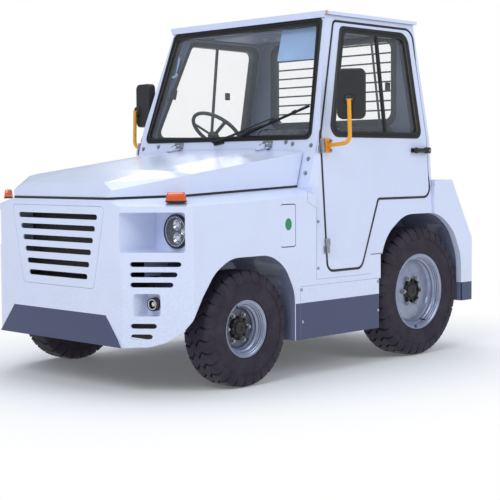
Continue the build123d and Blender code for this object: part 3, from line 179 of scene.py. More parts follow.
class Recipe:
    """Builds one material's node tree."""

    def __init__(self, name: str) -> None:
        """Starts a material with a bare Principled shader.

        Args:
            name: The material's name.
        """
        self.material = bpy.data.materials.new(name)
        self.material.use_nodes = True
        self.tree = self.material.node_tree
        self.shader = self.tree.nodes["Principled BSDF"]
        self._place: Value | None = None

    def node(self, kind: str, settings: dict, inputs: dict, output: int | str = 0) -> Value:
        """Adds a node.

        Args:
            kind: The node's type.
            settings: Its properties, such as a Math node's operation.
            inputs: Values or links, by socket number or name.
            output: The socket that is returned.

        Returns:
            The chosen output.
        """
        made = self.tree.nodes.new(kind)
        for key, value in settings.items():
            setattr(made, key, value)
        for key, value in inputs.items():
            if isinstance(value, Value):
                self.tree.links.new(value.socket, made.inputs[key])
            else:
                made.inputs[key].default_value = value
        return Value(self, made.outputs[output])

    @property
    def place(self) -> Value:
        """Object coordinates."""
        if self._place is None:
            self._place = self.node("ShaderNodeTexCoord", {}, {}, "Object")
        return self._place

    def axis(self, name: str) -> Value:
        """One of the object coordinates, X, Y or Z."""
        return self.node("ShaderNodeSeparateXYZ", {}, {0: self.place}, name)

    def noise(self, scale: float, detail: float = 4.0, roughness: float = 0.55,
              stretch: Point = (1.0, 1.0, 1.0)) -> Value:
        """Noise on the object coordinates.

        Args:
            scale: Features to a metre.
            detail: Octaves.
            roughness: How strong the fine octaves are.
            stretch: Scale along X, Y and Z.

        Returns:
            The noise value, about 0.5.
        """
        place = self.place
        if stretch != (1.0, 1.0, 1.0):
            place = self.node("ShaderNodeMapping", {}, {"Vector": place, "Scale": stretch})
        inputs = {"Vector": place, "Scale": scale, "Detail": detail, "Roughness": roughness}
        return self.node("ShaderNodeTexNoise", {}, inputs, "Fac")

    def mix(self, share: "Value | float", first: "Value | Colour", second: "Value | Colour",
            blend: str = "MIX") -> Value:
        """Mixes two colours.

        Args:
            share: Share of the second.
            first: Colour at share 0.
            second: Colour at share 1.
            blend: Blend type.

        Returns:
            The mixed colour.
        """
        settings = {"data_type": "RGBA", "blend_type": blend}
        inputs = {0: share, 6: self._four(first), 7: self._four(second)}
        return self.node("ShaderNodeMix", settings, inputs, 2)

    @staticmethod
    def _four(colour: "Value | Colour") -> "Value | tuple[float, float, float, float]":
        """A colour with alpha 1 where it is a plain one."""
        return colour if isinstance(colour, Value) else (*colour, 1.0)

    def bump(self, height: Value, strength: float, distance: float, under: "Value | None" = None) -> Value:
        """A Bump node's normal.

        Args:
            height: Height in shares of the distance.
            strength: Strength.
            distance: Depth in metres.
            under: A normal that this one is laid on.

        Returns:
            The normal.
        """
        inputs = {"Height": height, "Strength": strength, "Distance": distance}
        if under is not None:
            inputs["Normal"] = under
        return self.node("ShaderNodeBump", {}, inputs)

    def set(self, **values: object) -> None:
        """Sets or links the shader's sockets; spaces in their names are written as underscores."""
        for key, value in values.items():
            socket = self.shader.inputs[key.replace("_", " ")]
            if isinstance(value, Value):
                self.tree.links.new(value.socket, socket)
            elif isinstance(value, tuple) and len(value) == 3:
                socket.default_value = (*value, 1.0)
            else:
                socket.default_value = value


@dataclass(frozen=True)
class Finish:
    """A named material and what it is made of."""

    name: str

    def cook(self, recipe: Recipe) -> None:
        """Lays the finish's nodes."""

    def material(self) -> bpy.types.Material:
        """Makes the material."""
        recipe = Recipe(self.name)
        self.cook(recipe)
        return recipe.material


@dataclass(frozen=True)
class CoachPaint(Finish):
    """Sprayed gloss paint on sheet steel: slight orange peel, dust towards the ground, faint mottling."""

    colour: Colour
    dusty: Colour
    gloss: float = 0.26
    dust_height: float = 0.55

    def cook(self, recipe: Recipe) -> None:
        """Lays the finish's nodes."""
        mottle = recipe.noise(3.5, 3.0)
        peel = recipe.noise(420.0, 2.0)
        specks = recipe.noise(95.0, 5.0, 0.7)
        low = recipe.axis("Z").below(self.dust_height, 0.9)
        dust = low * specks.above(0.52, 0.2) * 0.35 + mottle.above(0.55, 0.3) * 0.10
        recipe.set(
            Base_Color=recipe.mix(dust, self.colour, self.dusty),
            Roughness=dust * 0.5 + (mottle * 0.06 + self.gloss),
            Normal=recipe.bump(peel, 0.10, 0.0006),
            Coat_Weight=0.35,
            Coat_Roughness=0.12,
        )


@dataclass(frozen=True)
class FramePaint(Finish):
    """Plain satin chassis paint over rough steel, grimy in random patches."""

    colour: Colour
    grime: Colour
    roughness: float = 0.5

    def cook(self, recipe: Recipe) -> None:
        """Lays the finish's nodes."""
        grain = recipe.noise(60.0, 6.0, 0.65)
        fine = recipe.noise(260.0, 3.0)
        recipe.set(
            Base_Color=recipe.mix(grain.above(0.55, 0.3) * 0.7, self.colour, self.grime),
            Roughness=grain * 0.3 + (self.roughness - 0.12),
            Normal=recipe.bump(fine, 0.35, 0.0012),
        )


@dataclass(frozen=True)
class TyreRubber(Finish):
    """Black tyre rubber, dusty and matt, with fine moulding marks."""

    name: str = "tyre_black"
    colour: Colour = srgb(47, 42, 54)
    dusty: Colour = srgb(78, 74, 84)

    def cook(self, recipe: Recipe) -> None:
        """Lays the finish's nodes."""
        patches = recipe.noise(14.0, 5.0, 0.6)
        fine = recipe.noise(320.0, 4.0, 0.6)
        recipe.set(
            Base_Color=recipe.mix(patches.above(0.55, 0.35) * 0.35, self.colour, self.dusty),
            Roughness=patches * 0.2 + 0.62,
            Normal=recipe.bump(fine, 0.3, 0.0009),
            Specular_IOR_Level=0.22,
        )


@dataclass(frozen=True)
class RimPaint(Finish):
    """Silver grey wheel enamel with brake dust and small chips, and painted shade on the disc within a given
    radius of the wheel's centre.
    """

    name: str = "rim_enamel"
    colour: Colour = srgb(152, 160, 184)
    dust: Colour = srgb(78, 76, 84)
    # Painted shade: a near black that darkens the disc where shade falls deep in the wheel
    soot: Colour = srgb(40, 40, 50)
    # Centre (y, z) and radius of that painted shade; a radius of 0 leaves it out
    hollow: Point = (0.0, 0.0, 0.0)

    def cook(self, recipe: Recipe) -> None:
        """Lays the finish's nodes."""
        film = recipe.noise(18.0, 5.0, 0.6)
        chips = recipe.noise(240.0, 2.0)
        dirt = film.above(0.58, 0.35) * 0.28 + chips.above(0.70, 0.06) * 0.4
        colour = recipe.mix(dirt, self.colour, self.dust)
        y, z, radius = self.hollow
        # Painted shade: the disc turns towards the near black inside the radius
        if radius > 0:
            away_y, away_z = recipe.axis("Y") - y, recipe.axis("Z") - z
            disc_shade_mask = ((away_y * away_y + away_z * away_z) ** 0.5).below(radius, 0.014)
            colour = recipe.mix(disc_shade_mask * (film * 0.5 + 0.5), colour, self.soot)
        recipe.set(
            Base_Color=colour,
            Metallic=0.55,
            Roughness=film * 0.15 + 0.26,
            Normal=recipe.bump(chips, 0.15, 0.0006),
        )


@dataclass(frozen=True)
class MouldedPlastic(Finish):
    """Moulded plastic or rubber with a fine leathery grain."""

    colour: Colour
    roughness: float = 0.5
    grain: float = 420.0

    def cook(self, recipe: Recipe) -> None:
        """Lays the finish's nodes."""
        grain = recipe.noise(self.grain, 3.0, 0.6)
        tone = recipe.noise(9.0, 3.0)
        lighter = tuple(min(1.0, channel * 1.5 + 0.01) for channel in self.colour)
        recipe.set(
            Base_Color=recipe.mix(tone.above(0.5, 0.5) * 0.35, self.colour, lighter),
            Roughness=tone * 0.12 + (self.roughness - 0.06),
            Normal=recipe.bump(grain, 0.25, 0.0005),
        )


@dataclass(frozen=True)
class WindowGlass(Finish):
    """Clear safety glass: mostly open, with a reflecting skin and a trace of tint."""

    name: str = "window_glass"
    colour: Colour = srgb(226, 234, 240)
    cover: float = 0.045

    def cook(self, recipe: Recipe) -> None:
        """Lays the finish's nodes."""
        film = recipe.noise(5.0, 3.0)
        recipe.set(
            Base_Color=recipe.mix(film * 0.2, self.colour, srgb(205, 214, 224)),
            Roughness=film * 0.03 + 0.02,
            Alpha=film * 0.02 + self.cover,
        )


@dataclass(frozen=True)
class LampPlastic(Finish):
    """Coloured or clear lamp plastic with a ribbed inner face."""

    colour: Colour
    deep: Colour
    ribs: float = 210.0
    roughness: float = 0.16

    def cook(self, recipe: Recipe) -> None:
        """Lays the finish's nodes."""
        wave = recipe.node("ShaderNodeTexWave", {"wave_type": "BANDS", "bands_direction": "Z"},
                           {"Vector": recipe.place, "Scale": self.ribs / 6.3, "Distortion": 0.0}, "Fac")
        recipe.set(
            Base_Color=recipe.mix(wave * 0.5, self.colour, self.deep),
            Roughness=wave * 0.06 + self.roughness,
            Normal=recipe.bump(wave, 0.25, 0.0012),
            Coat_Weight=0.6,
        )


@dataclass(frozen=True)
class Steel(Finish):
    """Zinc plated or bare steel with a worn, mottled skin."""

    colour: Colour = srgb(176, 178, 184)
    roughness: float = 0.32

    def cook(self, recipe: Recipe) -> None:
        """Lays the finish's nodes."""
        patches = recipe.noise(55.0, 5.0, 0.6)
        fine = recipe.noise(500.0, 2.0)
        darker = tuple(channel * 0.55 for channel in self.colour)
        recipe.set(
            Base_Color=recipe.mix(patches.above(0.5, 0.4) * 0.6, self.colour, darker),
            Metallic=0.9,
            Roughness=patches * 0.2 + (self.roughness - 0.08),
            Normal=recipe.bump(fine, 0.1, 0.0004),
        )


@dataclass(frozen=True)
class Reflector(Finish):
    """Bright pressed reflector or mirror."""

    colour: Colour = srgb(205, 208, 214)
    roughness: float = 0.08

    def cook(self, recipe: Recipe) -> None:
        """Lays the finish's nodes."""
        film = recipe.noise(30.0, 3.0)
        recipe.set(
            Base_Color=recipe.mix(film * 0.2, self.colour, srgb(170, 174, 182)),
            Metallic=1.0,
            Roughness=film * 0.05 + self.roughness,
        )


@dataclass(frozen=True)
class SeatCloth(Finish):
    """Woven seat cloth: a fine weave from two crossing waves, with light flecks."""

    colour: Colour
    fleck: Colour
    thread: float = 0.0016

    def cook(self, recipe: Recipe) -> None:
        """Lays the finish's nodes."""
        turn = 2 * math.pi / self.thread
        threads = []
        for axis in "XYZ":
            along = recipe.axis(axis) * turn
            threads.append(recipe.node("ShaderNodeMath", {"operation": "SINE"}, {0: along}))
        weave = (threads[0] * threads[1] + threads[1] * threads[2] + threads[2] * threads[0]) * 0.3 + 0.5
        flecks = recipe.noise(340.0, 2.0, 0.6).above(0.60, 0.05)
        wear = recipe.noise(11.0, 4.0)
        base = recipe.mix(flecks * 0.55, self.colour, self.fleck)
        recipe.set(
            Base_Color=recipe.mix(wear.above(0.55, 0.4) * 0.25, base, self.fleck),
            Roughness=weave * 0.1 + 0.85,
            Normal=recipe.bump(weave, 0.5, 0.0008),
            Sheen_Weight=0.3,
        )


class Finishes:
    """The tug's finishes, each made once."""

    def __init__(self) -> None:
        """Makes every material."""
        white = srgb(217, 226, 252)
        made = {
            "body": CoachPaint("body_white", white, srgb(190, 192, 200)),
            "slate": CoachPaint("slate_blue", srgb(52, 62, 102), srgb(80, 86, 110), 0.46, 0.5),
            "frame": FramePaint("frame_black", srgb(34, 34, 38), srgb(66, 64, 64)),
            "iron": FramePaint("iron_dark", srgb(52, 50, 52), srgb(82, 78, 74), 0.62),
            "hub": FramePaint("hub_black", srgb(24, 24, 27), srgb(46, 44, 46), 0.45),
            "tyre": TyreRubber(),
            "rim_rear": RimPaint(),
            # The front rim's disc gets painted shade within 0.103 m of the wheel's centre
            "rim_front": RimPaint("rim_enamel_front", hollow=(-0.716, 0.294, 0.103)),
            "seal": MouldedPlastic("seal_black", srgb(22, 22, 24), 0.42),
            "plastic": MouldedPlastic("black_plastic", srgb(26, 26, 29), 0.48),
            "interior": MouldedPlastic("interior_grey", srgb(96, 98, 104), 0.6),
            "dash": MouldedPlastic("dash_charcoal", srgb(56, 57, 62), 0.6),
            "glass": WindowGlass(),
            "lens": LampPlastic("lens_clear", srgb(222, 226, 232), srgb(150, 154, 162), 260.0, 0.08),
            "amber": LampPlastic("lens_amber", srgb(232, 96, 30), srgb(170, 48, 12)),
            "red": LampPlastic("lens_red", srgb(190, 22, 18), srgb(110, 8, 8)),
            "steel": Steel("plated_steel"),
            "pin": Steel("pin_steel", srgb(150, 150, 154), 0.4),
            "arm": CoachPaint("arm_yellow", srgb(240, 166, 36), srgb(170, 120, 50), 0.35, 0.0),
            "green": CoachPaint("sticker_green", srgb(22, 132, 92), srgb(22, 110, 80), 0.35, 0.0),
            "paper": CoachPaint("sticker_white", srgb(236, 240, 246), srgb(220, 222, 228), 0.4, 0.0),
            "mirror": Reflector("mirror_face"),
            "reflector": Reflector("lamp_reflector", srgb(196, 200, 208), 0.12),
            "driver": SeatCloth("driver_cloth", srgb(60, 62, 70), srgb(150, 156, 170)),
            "passenger": SeatCloth("passenger_cloth", srgb(34, 34, 38), srgb(60, 60, 66)),
            "dark": MouldedPlastic("shadow_black", srgb(12, 12, 14), 0.7),
            "lining": MouldedPlastic("cab_lining", srgb(112, 124, 150), 0.5, 700.0),
            "visor": MouldedPlastic("visor_blue", srgb(150, 182, 226), 0.35, 700.0),
            # The wells' grey-blue is darker than the body: partly the liners' own colour, partly painted shade
            # for the dim inside of the wheel wells
            "well": CoachPaint("well_grey", srgb(118, 126, 156), srgb(104, 108, 124), 0.5, 0.9),
            "yellow": LampPlastic("lens_yellow", srgb(244, 176, 70), srgb(200, 120, 30), 300.0),
            "shade": MouldedPlastic("seam_shade", srgb(112, 122, 150), 0.6),
        }
        self.materials = {key: finish.material() for key, finish in made.items()}

    def __getitem__(self, key: str) -> bpy.types.Material:
        """A material by its short name."""
        return self.materials[key]


class Workshop:
    """Makes meshes, gives them their finish and seats them on the frame's bodies."""

    FACING, LINED_ABOVE = 0.6, 0.95
    WELL_INSIDE, WELL_BELOW, WELL_BEHIND = 0.762, 0.66, -1.095

    def __init__(self, frame: dict, finishes: Finishes) -> None:
        """Keeps the frame and the finishes.

        Args:
            finishes: The tug's finishes.
        """
        self.nodes = frame["nodes"]
        self.finishes = finishes

    def dress(self, node: str, finish: str) -> None:
        """Gives a carried-over CAD node its finish in every material slot.

        Args:
            node: The CAD node.
            finish: The finish's short name.
        """
        slots = self.nodes[node].material_slots
        if not slots:
            self.nodes[node].data.materials.append(self.finishes[finish])
        for slot in slots:
            slot.material = self.finishes[finish]

    def _repaint(self, node: str, finish: str, chosen: Callable[[bpy.types.MeshPolygon], bool]) -> None:
        """Gives a CAD node's chosen faces another finish."""
        mesh = self.nodes[node].data
        mesh.materials.append(self.finishes[finish])
        for face in mesh.polygons:
            if chosen(face):
                face.material_index = len(mesh.materials) - 1

    def line(self, node: str, way: Point, finish: str = "lining") -> None:
        """Gives a CAD node's faces that look one way another finish, as the lining inside the cab.

        Args:
            node: The CAD node.
            way: Where the faces look.
            finish: The finish's short name.
        """
        def inside(face: bpy.types.MeshPolygon) -> bool:
            """Whether a face belongs to the lining."""
            centre = face.center
            facing = face.normal.dot(Vector(way)) > self.FACING
            return facing and centre.z > self.LINED_ABOVE and centre.x * way[0] <= 0

        self._repaint(node, finish, inside)

    def well(self, node: str) -> None:
        """Gives the wheel wells' sheets, which lie inside a CAD node's outer faces, the grey well finish, which
        is partly painted shade for the dim wells.
        """
        def inside(face: bpy.types.MeshPolygon) -> bool:
            """Whether a face belongs to a wheel well."""
            within = abs(face.center.x) < self.WELL_INSIDE and face.center.y > self.WELL_BEHIND
            return abs(face.normal.x) < self.FACING and face.center.z < self.WELL_BELOW and within

        self._repaint(node, "well", inside)

    def piece(self, name: str, mesh: Mesh, finish: str, body: str, slot: str,
              sharp: float = 32.0, stands_for: Sequence[str] = ()) -> bpy.types.Object:
        """Turns a bmesh into a piece that rides on a body.

        Args:
            name: The piece's name.
            mesh: Its geometry in the row frame; it is freed.
            finish: The finish's short name.
            body: The CAD body that it rides on.
            slot: The record's material slot; not used.
            sharp: Edges that turn by more than this many degrees stay sharp.
            stands_for: CAD nodes that it replaces.

        Returns:
            The new object.
        """
        bmesh.ops.remove_doubles(mesh, verts=mesh.verts, dist=1e-6)
        bmesh.ops.recalc_face_normals(mesh, faces=mesh.faces)
        data = bpy.data.meshes.new(name)
        mesh.to_mesh(data)
        mesh.free()
        return self.place(bpy.data.objects.new(name, data), finish, body, slot, sharp, stands_for)

    def place(self, made: bpy.types.Object, finish: str, body: str, slot: str,
              sharp: float = 32.0, stands_for: Sequence[str] = ()) -> bpy.types.Object:
        """Shades, dresses and seats an object that is already in place; see piece()."""
        bpy.context.scene.collection.objects.link(made)
        made.data.shade_smooth()
        made.data.set_sharp_from_angle(angle=math.radians(sharp))
        made.data.materials.clear()
        made.data.materials.append(self.finishes[finish])
        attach(made, body)
        if stands_for:
            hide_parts(*stands_for)
        LOG.info("piece %s on %s", made.name, body)
        return made


class Maker:
    """Makes pieces in a workshop."""

    def __init__(self, shop: Workshop) -> None:
        """Keeps the workshop."""
        self.shop = shop


class SideMaker(Maker):
    """Makes pieces for one side of the vehicle."""

    def __init__(self, shop: Workshop, side: Side) -> None:
        """Keeps the workshop and the side."""
        super().__init__(shop)
        self.side = side
        self.mirror = Matrix.Diagonal((side.value, 1.0, 1.0, 1.0))


def moved(place: Sequence[float]) -> Matrix:
    """A shift by a place."""
    return Matrix.Translation(place)


def turned(degrees: float, axis: str) -> Matrix:
    """A turn about an axis through the origin."""
    return Matrix.Rotation(math.radians(degrees), 4, axis)


def basis(along: Vector, roll: Vector | None = None) -> Matrix:
    """A turn that takes +Z to a direction.

    Args:
        along: The direction.
        roll: Where +X goes, as near as it can.

    Returns:
        The 4 by 4 turn.
    """
    z = along.normalized()
    guide = roll if roll is not None else (Vector((1, 0, 0)) if abs(z.x) < 0.9 else Vector((0, 1, 0)))
    x = (guide - z * guide.dot(z)).normalized()
    y = z.cross(x)
    return Matrix((x, y, z)).transposed().to_4x4()


def add_rod(mesh: Mesh, start: Sequence[float], end: Sequence[float], radius: float,
            segments: int = 20, end_radius: float | None = None, bevel: float = 0.0) -> None:
    """Adds a rod or cone between two points.

    Args:
        mesh: The mesh that grows.
        start: First end's centre.
        end: Second end's centre.
        radius: Radius at the start.
        segments: Sides.
        end_radius: Radius at the end, where it differs.
        bevel: Size of the end edges' bevel.
    """
    first, last = Vector(start), Vector(end)
    way = last - first
    place = moved((first + last) / 2) @ basis(way)
    top = radius if end_radius is None else end_radius
    made = bmesh.ops.create_cone(mesh, cap_ends=True, segments=segments, radius1=radius, radius2=top,
                                 depth=way.length, matrix=place)
    if bevel:
        rims = [edge for edge in {e for v in made["verts"] for e in v.link_edges}
                if len(edge.link_faces) == 2 and edge.calc_face_angle(0.0) > math.radians(50)]
        bmesh.ops.bevel(mesh, geom=rims, offset=bevel, offset_type="OFFSET", segments=2, profile=0.5,
                        affect="EDGES", material=-1)


def add_block(mesh: Mesh, size: Sequence[float], place: Matrix, bevel: float = 0.0,
              segments: int = 2) -> list[bmesh.types.BMVert]:
    """Adds a block with bevelled edges.

    Args:
        mesh: The mesh that grows.
        size: Lengths along its own X, Y and Z.
        place: Where its centre lies and how it is turned.
        bevel: Size of the bevel.
        segments: Segments of the bevel.

    Returns:
        The block's vertices before the bevel.
    """
    made = bmesh.ops.create_cube(mesh, size=1.0, matrix=place @ Matrix.Diagonal((*size, 1.0)))
    if bevel:
        edges = list({edge for vert in made["verts"] for edge in vert.link_edges})
        bmesh.ops.bevel(mesh, geom=edges, offset=bevel, offset_type="OFFSET", segments=segments, profile=0.5,
                        affect="EDGES", material=-1)
    return made["verts"]


def add_hex(mesh: Mesh, at: Sequence[float], way: Sequence[float], across: float,
            height: float) -> None:
    """Adds a hexagon head with a chamfered top.

    Args:
        mesh: The mesh that grows.
        at: Centre of its foot.
        way: Direction that it stands in.
        across: Size over two flats.
        height: Height.
    """
    foot, up = Vector(at), Vector(way).normalized()
    corner = across / math.sqrt(3)
    add_rod(mesh, foot, foot + up * height * 0.72, corner, 6)
    add_rod(mesh, foot + up * height * 0.72, foot + up * height, corner, 6, corner * 0.82)


def add_bolt(mesh: Mesh, at: Sequence[float], way: Sequence[float], across: float = 0.013,
             height: float = 0.006) -> None:
    """Adds a hexagon bolt head on its round washer; see add_hex()."""
    foot, up = Vector(at), Vector(way).normalized()
    washer = height * 0.25
    add_rod(mesh, foot - up * 0.0005, foot + up * washer, across * 0.82, 20)
    add_hex(mesh, foot + up * washer, up, across, height)


def add_dome(mesh: Mesh, at: Sequence[float], way: Sequence[float], radius: float,
             height: float) -> None:
    """Adds a low round head, such as a pan head screw's; see add_hex()."""
    foot, up = Vector(at), Vector(way).normalized()
    add_rod(mesh, foot - up * 0.0005, foot + up * height * 0.55, radius, 20)
    add_rod(mesh, foot + up * height * 0.55, foot + up * height, radius, 20, radius * 0.55)


def bridge(mesh: Mesh, rings: Sequence[Sequence[bmesh.types.BMVert]], closed: bool = True,
           capped: bool = False) -> None:
    """Joins rings of as many points with faces.

    Args:
        mesh: The mesh that grows.
        rings: The rings, in order.
        closed: Whether each ring runs back into its start.
        capped: Whether the first and the last ring are filled.
    """
    for first, second in zip(rings, rings[1:]):
        count = len(first)
        for index in range(count if closed else count - 1):
            ahead = (index + 1) % count
            mesh.faces.new((first[index], first[ahead], second[ahead], second[index]))
    if capped:
        mesh.faces.new(rings[0])
        mesh.faces.new(rings[-1])


def box_outline(wide: float, high: float, radius: float, steps: int = 7) -> list[Pair]:
    """A rounded rectangle about the origin, from its half width and half height; see rounded()."""
    corners = ((-wide, -high), (wide, -high), (wide, high), (-wide, high))
    return rounded([(*corner, radius) for corner in corners], steps)


def sweep(name: str, route: Iterable[Sequence[float]], radius: float, closed: bool = False,
          sides: int = 3, smooth: bool = False) -> bpy.types.Object:
    """A round bar along a route, made as a bevelled curve and turned into a mesh.

    Args:
        name: The object's name.
        route: Points in the row frame.
        radius: The bar's radius.
        closed: Whether it runs back into its start.
        sides: Bevel resolution.
        smooth: Whether a NURBS line runs near the points, in place of straight runs.

    Returns:
        The mesh object, not yet in the scene.
    """
    points = [Vector(point) for point in route]
    curve = bpy.data.curves.new(name, "CURVE")
    curve.dimensions = "3D"
    curve.bevel_depth = radius
    curve.bevel_resolution = sides
    curve.use_fill_caps = not closed
    spline = curve.splines.new("NURBS" if smooth else "POLY")
    spline.points.add(len(points) - 1)
    for control, point in zip(spline.points, points):
        control.co = (*point, 1.0)
    spline.use_cyclic_u = closed
    if smooth:
        spline.order_u = 3
        spline.use_endpoint_u = not closed
        spline.resolution_u = 6
    shape = bpy.data.objects.new(name + "_line", curve)
    bpy.context.scene.collection.objects.link(shape)
    bpy.context.view_layer.update()
    evaluated = shape.evaluated_get(bpy.context.evaluated_depsgraph_get())
    data = bpy.data.meshes.new_from_object(evaluated)
    data.name = name
    bpy.data.objects.remove(shape)
    bpy.data.curves.remove(curve)
    return bpy.data.objects.new(name, data)


def rounded(points: Sequence[Point], steps: int = 7) -> list[Pair]:
    """An outline with round corners.

    Args:
        points: Each corner's two coordinates and its radius.
        steps: Points on a corner's arc.

    Returns:
        The outline's points.
    """
    line: list[Pair] = []
    count = len(points)
    for index, (x, y, radius) in enumerate(points):
        here = Vector((x, y))
        before = (Vector(points[index - 1][:2]) - here).normalized()
        after = (Vector(points[(index + 1) % count][:2]) - here).normalized()
        half = math.acos(max(-1.0, min(1.0, before.dot(after)))) / 2
        if radius <= 0 or half > QUARTER - 1e-3:
            line.append((x, y))
            continue
        inward = (before + after).normalized()
        centre = here + inward * (radius / math.sin(half))
        start = (here + before * (radius / math.tan(half))) - centre
        end = (here + after * (radius / math.tan(half))) - centre
        angle = start.angle_signed(end)
        for step in range(steps + 1):
            line.append(tuple(centre + Matrix.Rotation(-angle * step / steps, 2) @ start))
    return line


@dataclass(frozen=True)
class WheelSize:
    """One axle's wheel, in metres; places across it are measured outward from the tyre's middle."""

    axle: Axle
    centre: Point
    outer: float
    width: float
    seat: float
    rim_width: float
    lugs: int
    lug_depth: float
    disc: float
    hub: float
    nose: float
    nut_circle: float
    nut_across: float

    @property
    def lip(self) -> float:
        """Radius where the tyre meets the rim's flange."""
        return self.seat + 0.019

    @property
    def depth(self) -> float:
        """Height of the tyre above the flange."""
        return self.outer - self.lip

    def wall(self, across: float, up: float) -> Pair:
        """A place on the tyre's section, from shares of its half width and of its height."""
        return across * self.width / 2, self.lip + up * self.depth


WHEEL_SIZES = (
    WheelSize(Axle.FRONT, (0.674, -0.716, 0.294), 0.294, 0.178, 0.129, 0.140, 28, 0.012, 0.007, 0.056, 0.035,
              0.073, 0.019),
    WheelSize(Axle.REAR, (0.655, 0.714, 0.372), 0.372, 0.205, 0.202, 0.176, 34, 0.015, 0.026, 0.066, 0.045,
              0.079, 0.026),
)


def flowing(points: Sequence[Pair], steps: int = 4) -> list[Pair]:
    """A smooth line through points in a plane, as Catmull-Rom arcs.

    Args:
        points: The points.
        steps: Pieces between two of them.

    Returns:
        The finer line.
    """
    line = [Vector(point) for point in points]
    line = [line[0] * 2 - line[1], *line, line[-1] * 2 - line[-2]]
    fine: list[Pair] = []
    for before, start, end, after in zip(line, line[1:], line[2:], line[3:]):
        for step in range(steps):
            t = step / steps
            square, cube = before * 2 - start * 5 + end * 4 - after, start * 3 - before - end * 3 + after
            fine.append(tuple(((start * 2) + (end - before) * t + square * t ** 2 + cube * t ** 3) / 2))
    fine.append(tuple(points[-1]))
    return fine


def spin(mesh: Mesh, section: Sequence[Pair], segments: int = 96,
         closed: bool = False) -> None:
    """Turns a section of (x, radius) points about the X axis.

    Args:
        mesh: The mesh that grows.
        section: The section's points.
        segments: Steps round.
        closed: Whether the section runs back into its start.
    """
    verts = [mesh.verts.new((x, 0.0, radius)) for x, radius in section]
    pairs = list(zip(verts, verts[1:])) + ([(verts[-1], verts[0])] if closed else [])
    edges = [mesh.edges.new(pair) for pair in pairs]
    bmesh.ops.spin(mesh, geom=[*verts, *edges], axis=(1, 0, 0), cent=(0, 0, 0), angle=2 * math.pi,
                   steps=segments, use_merge=True, use_duplicate=False)


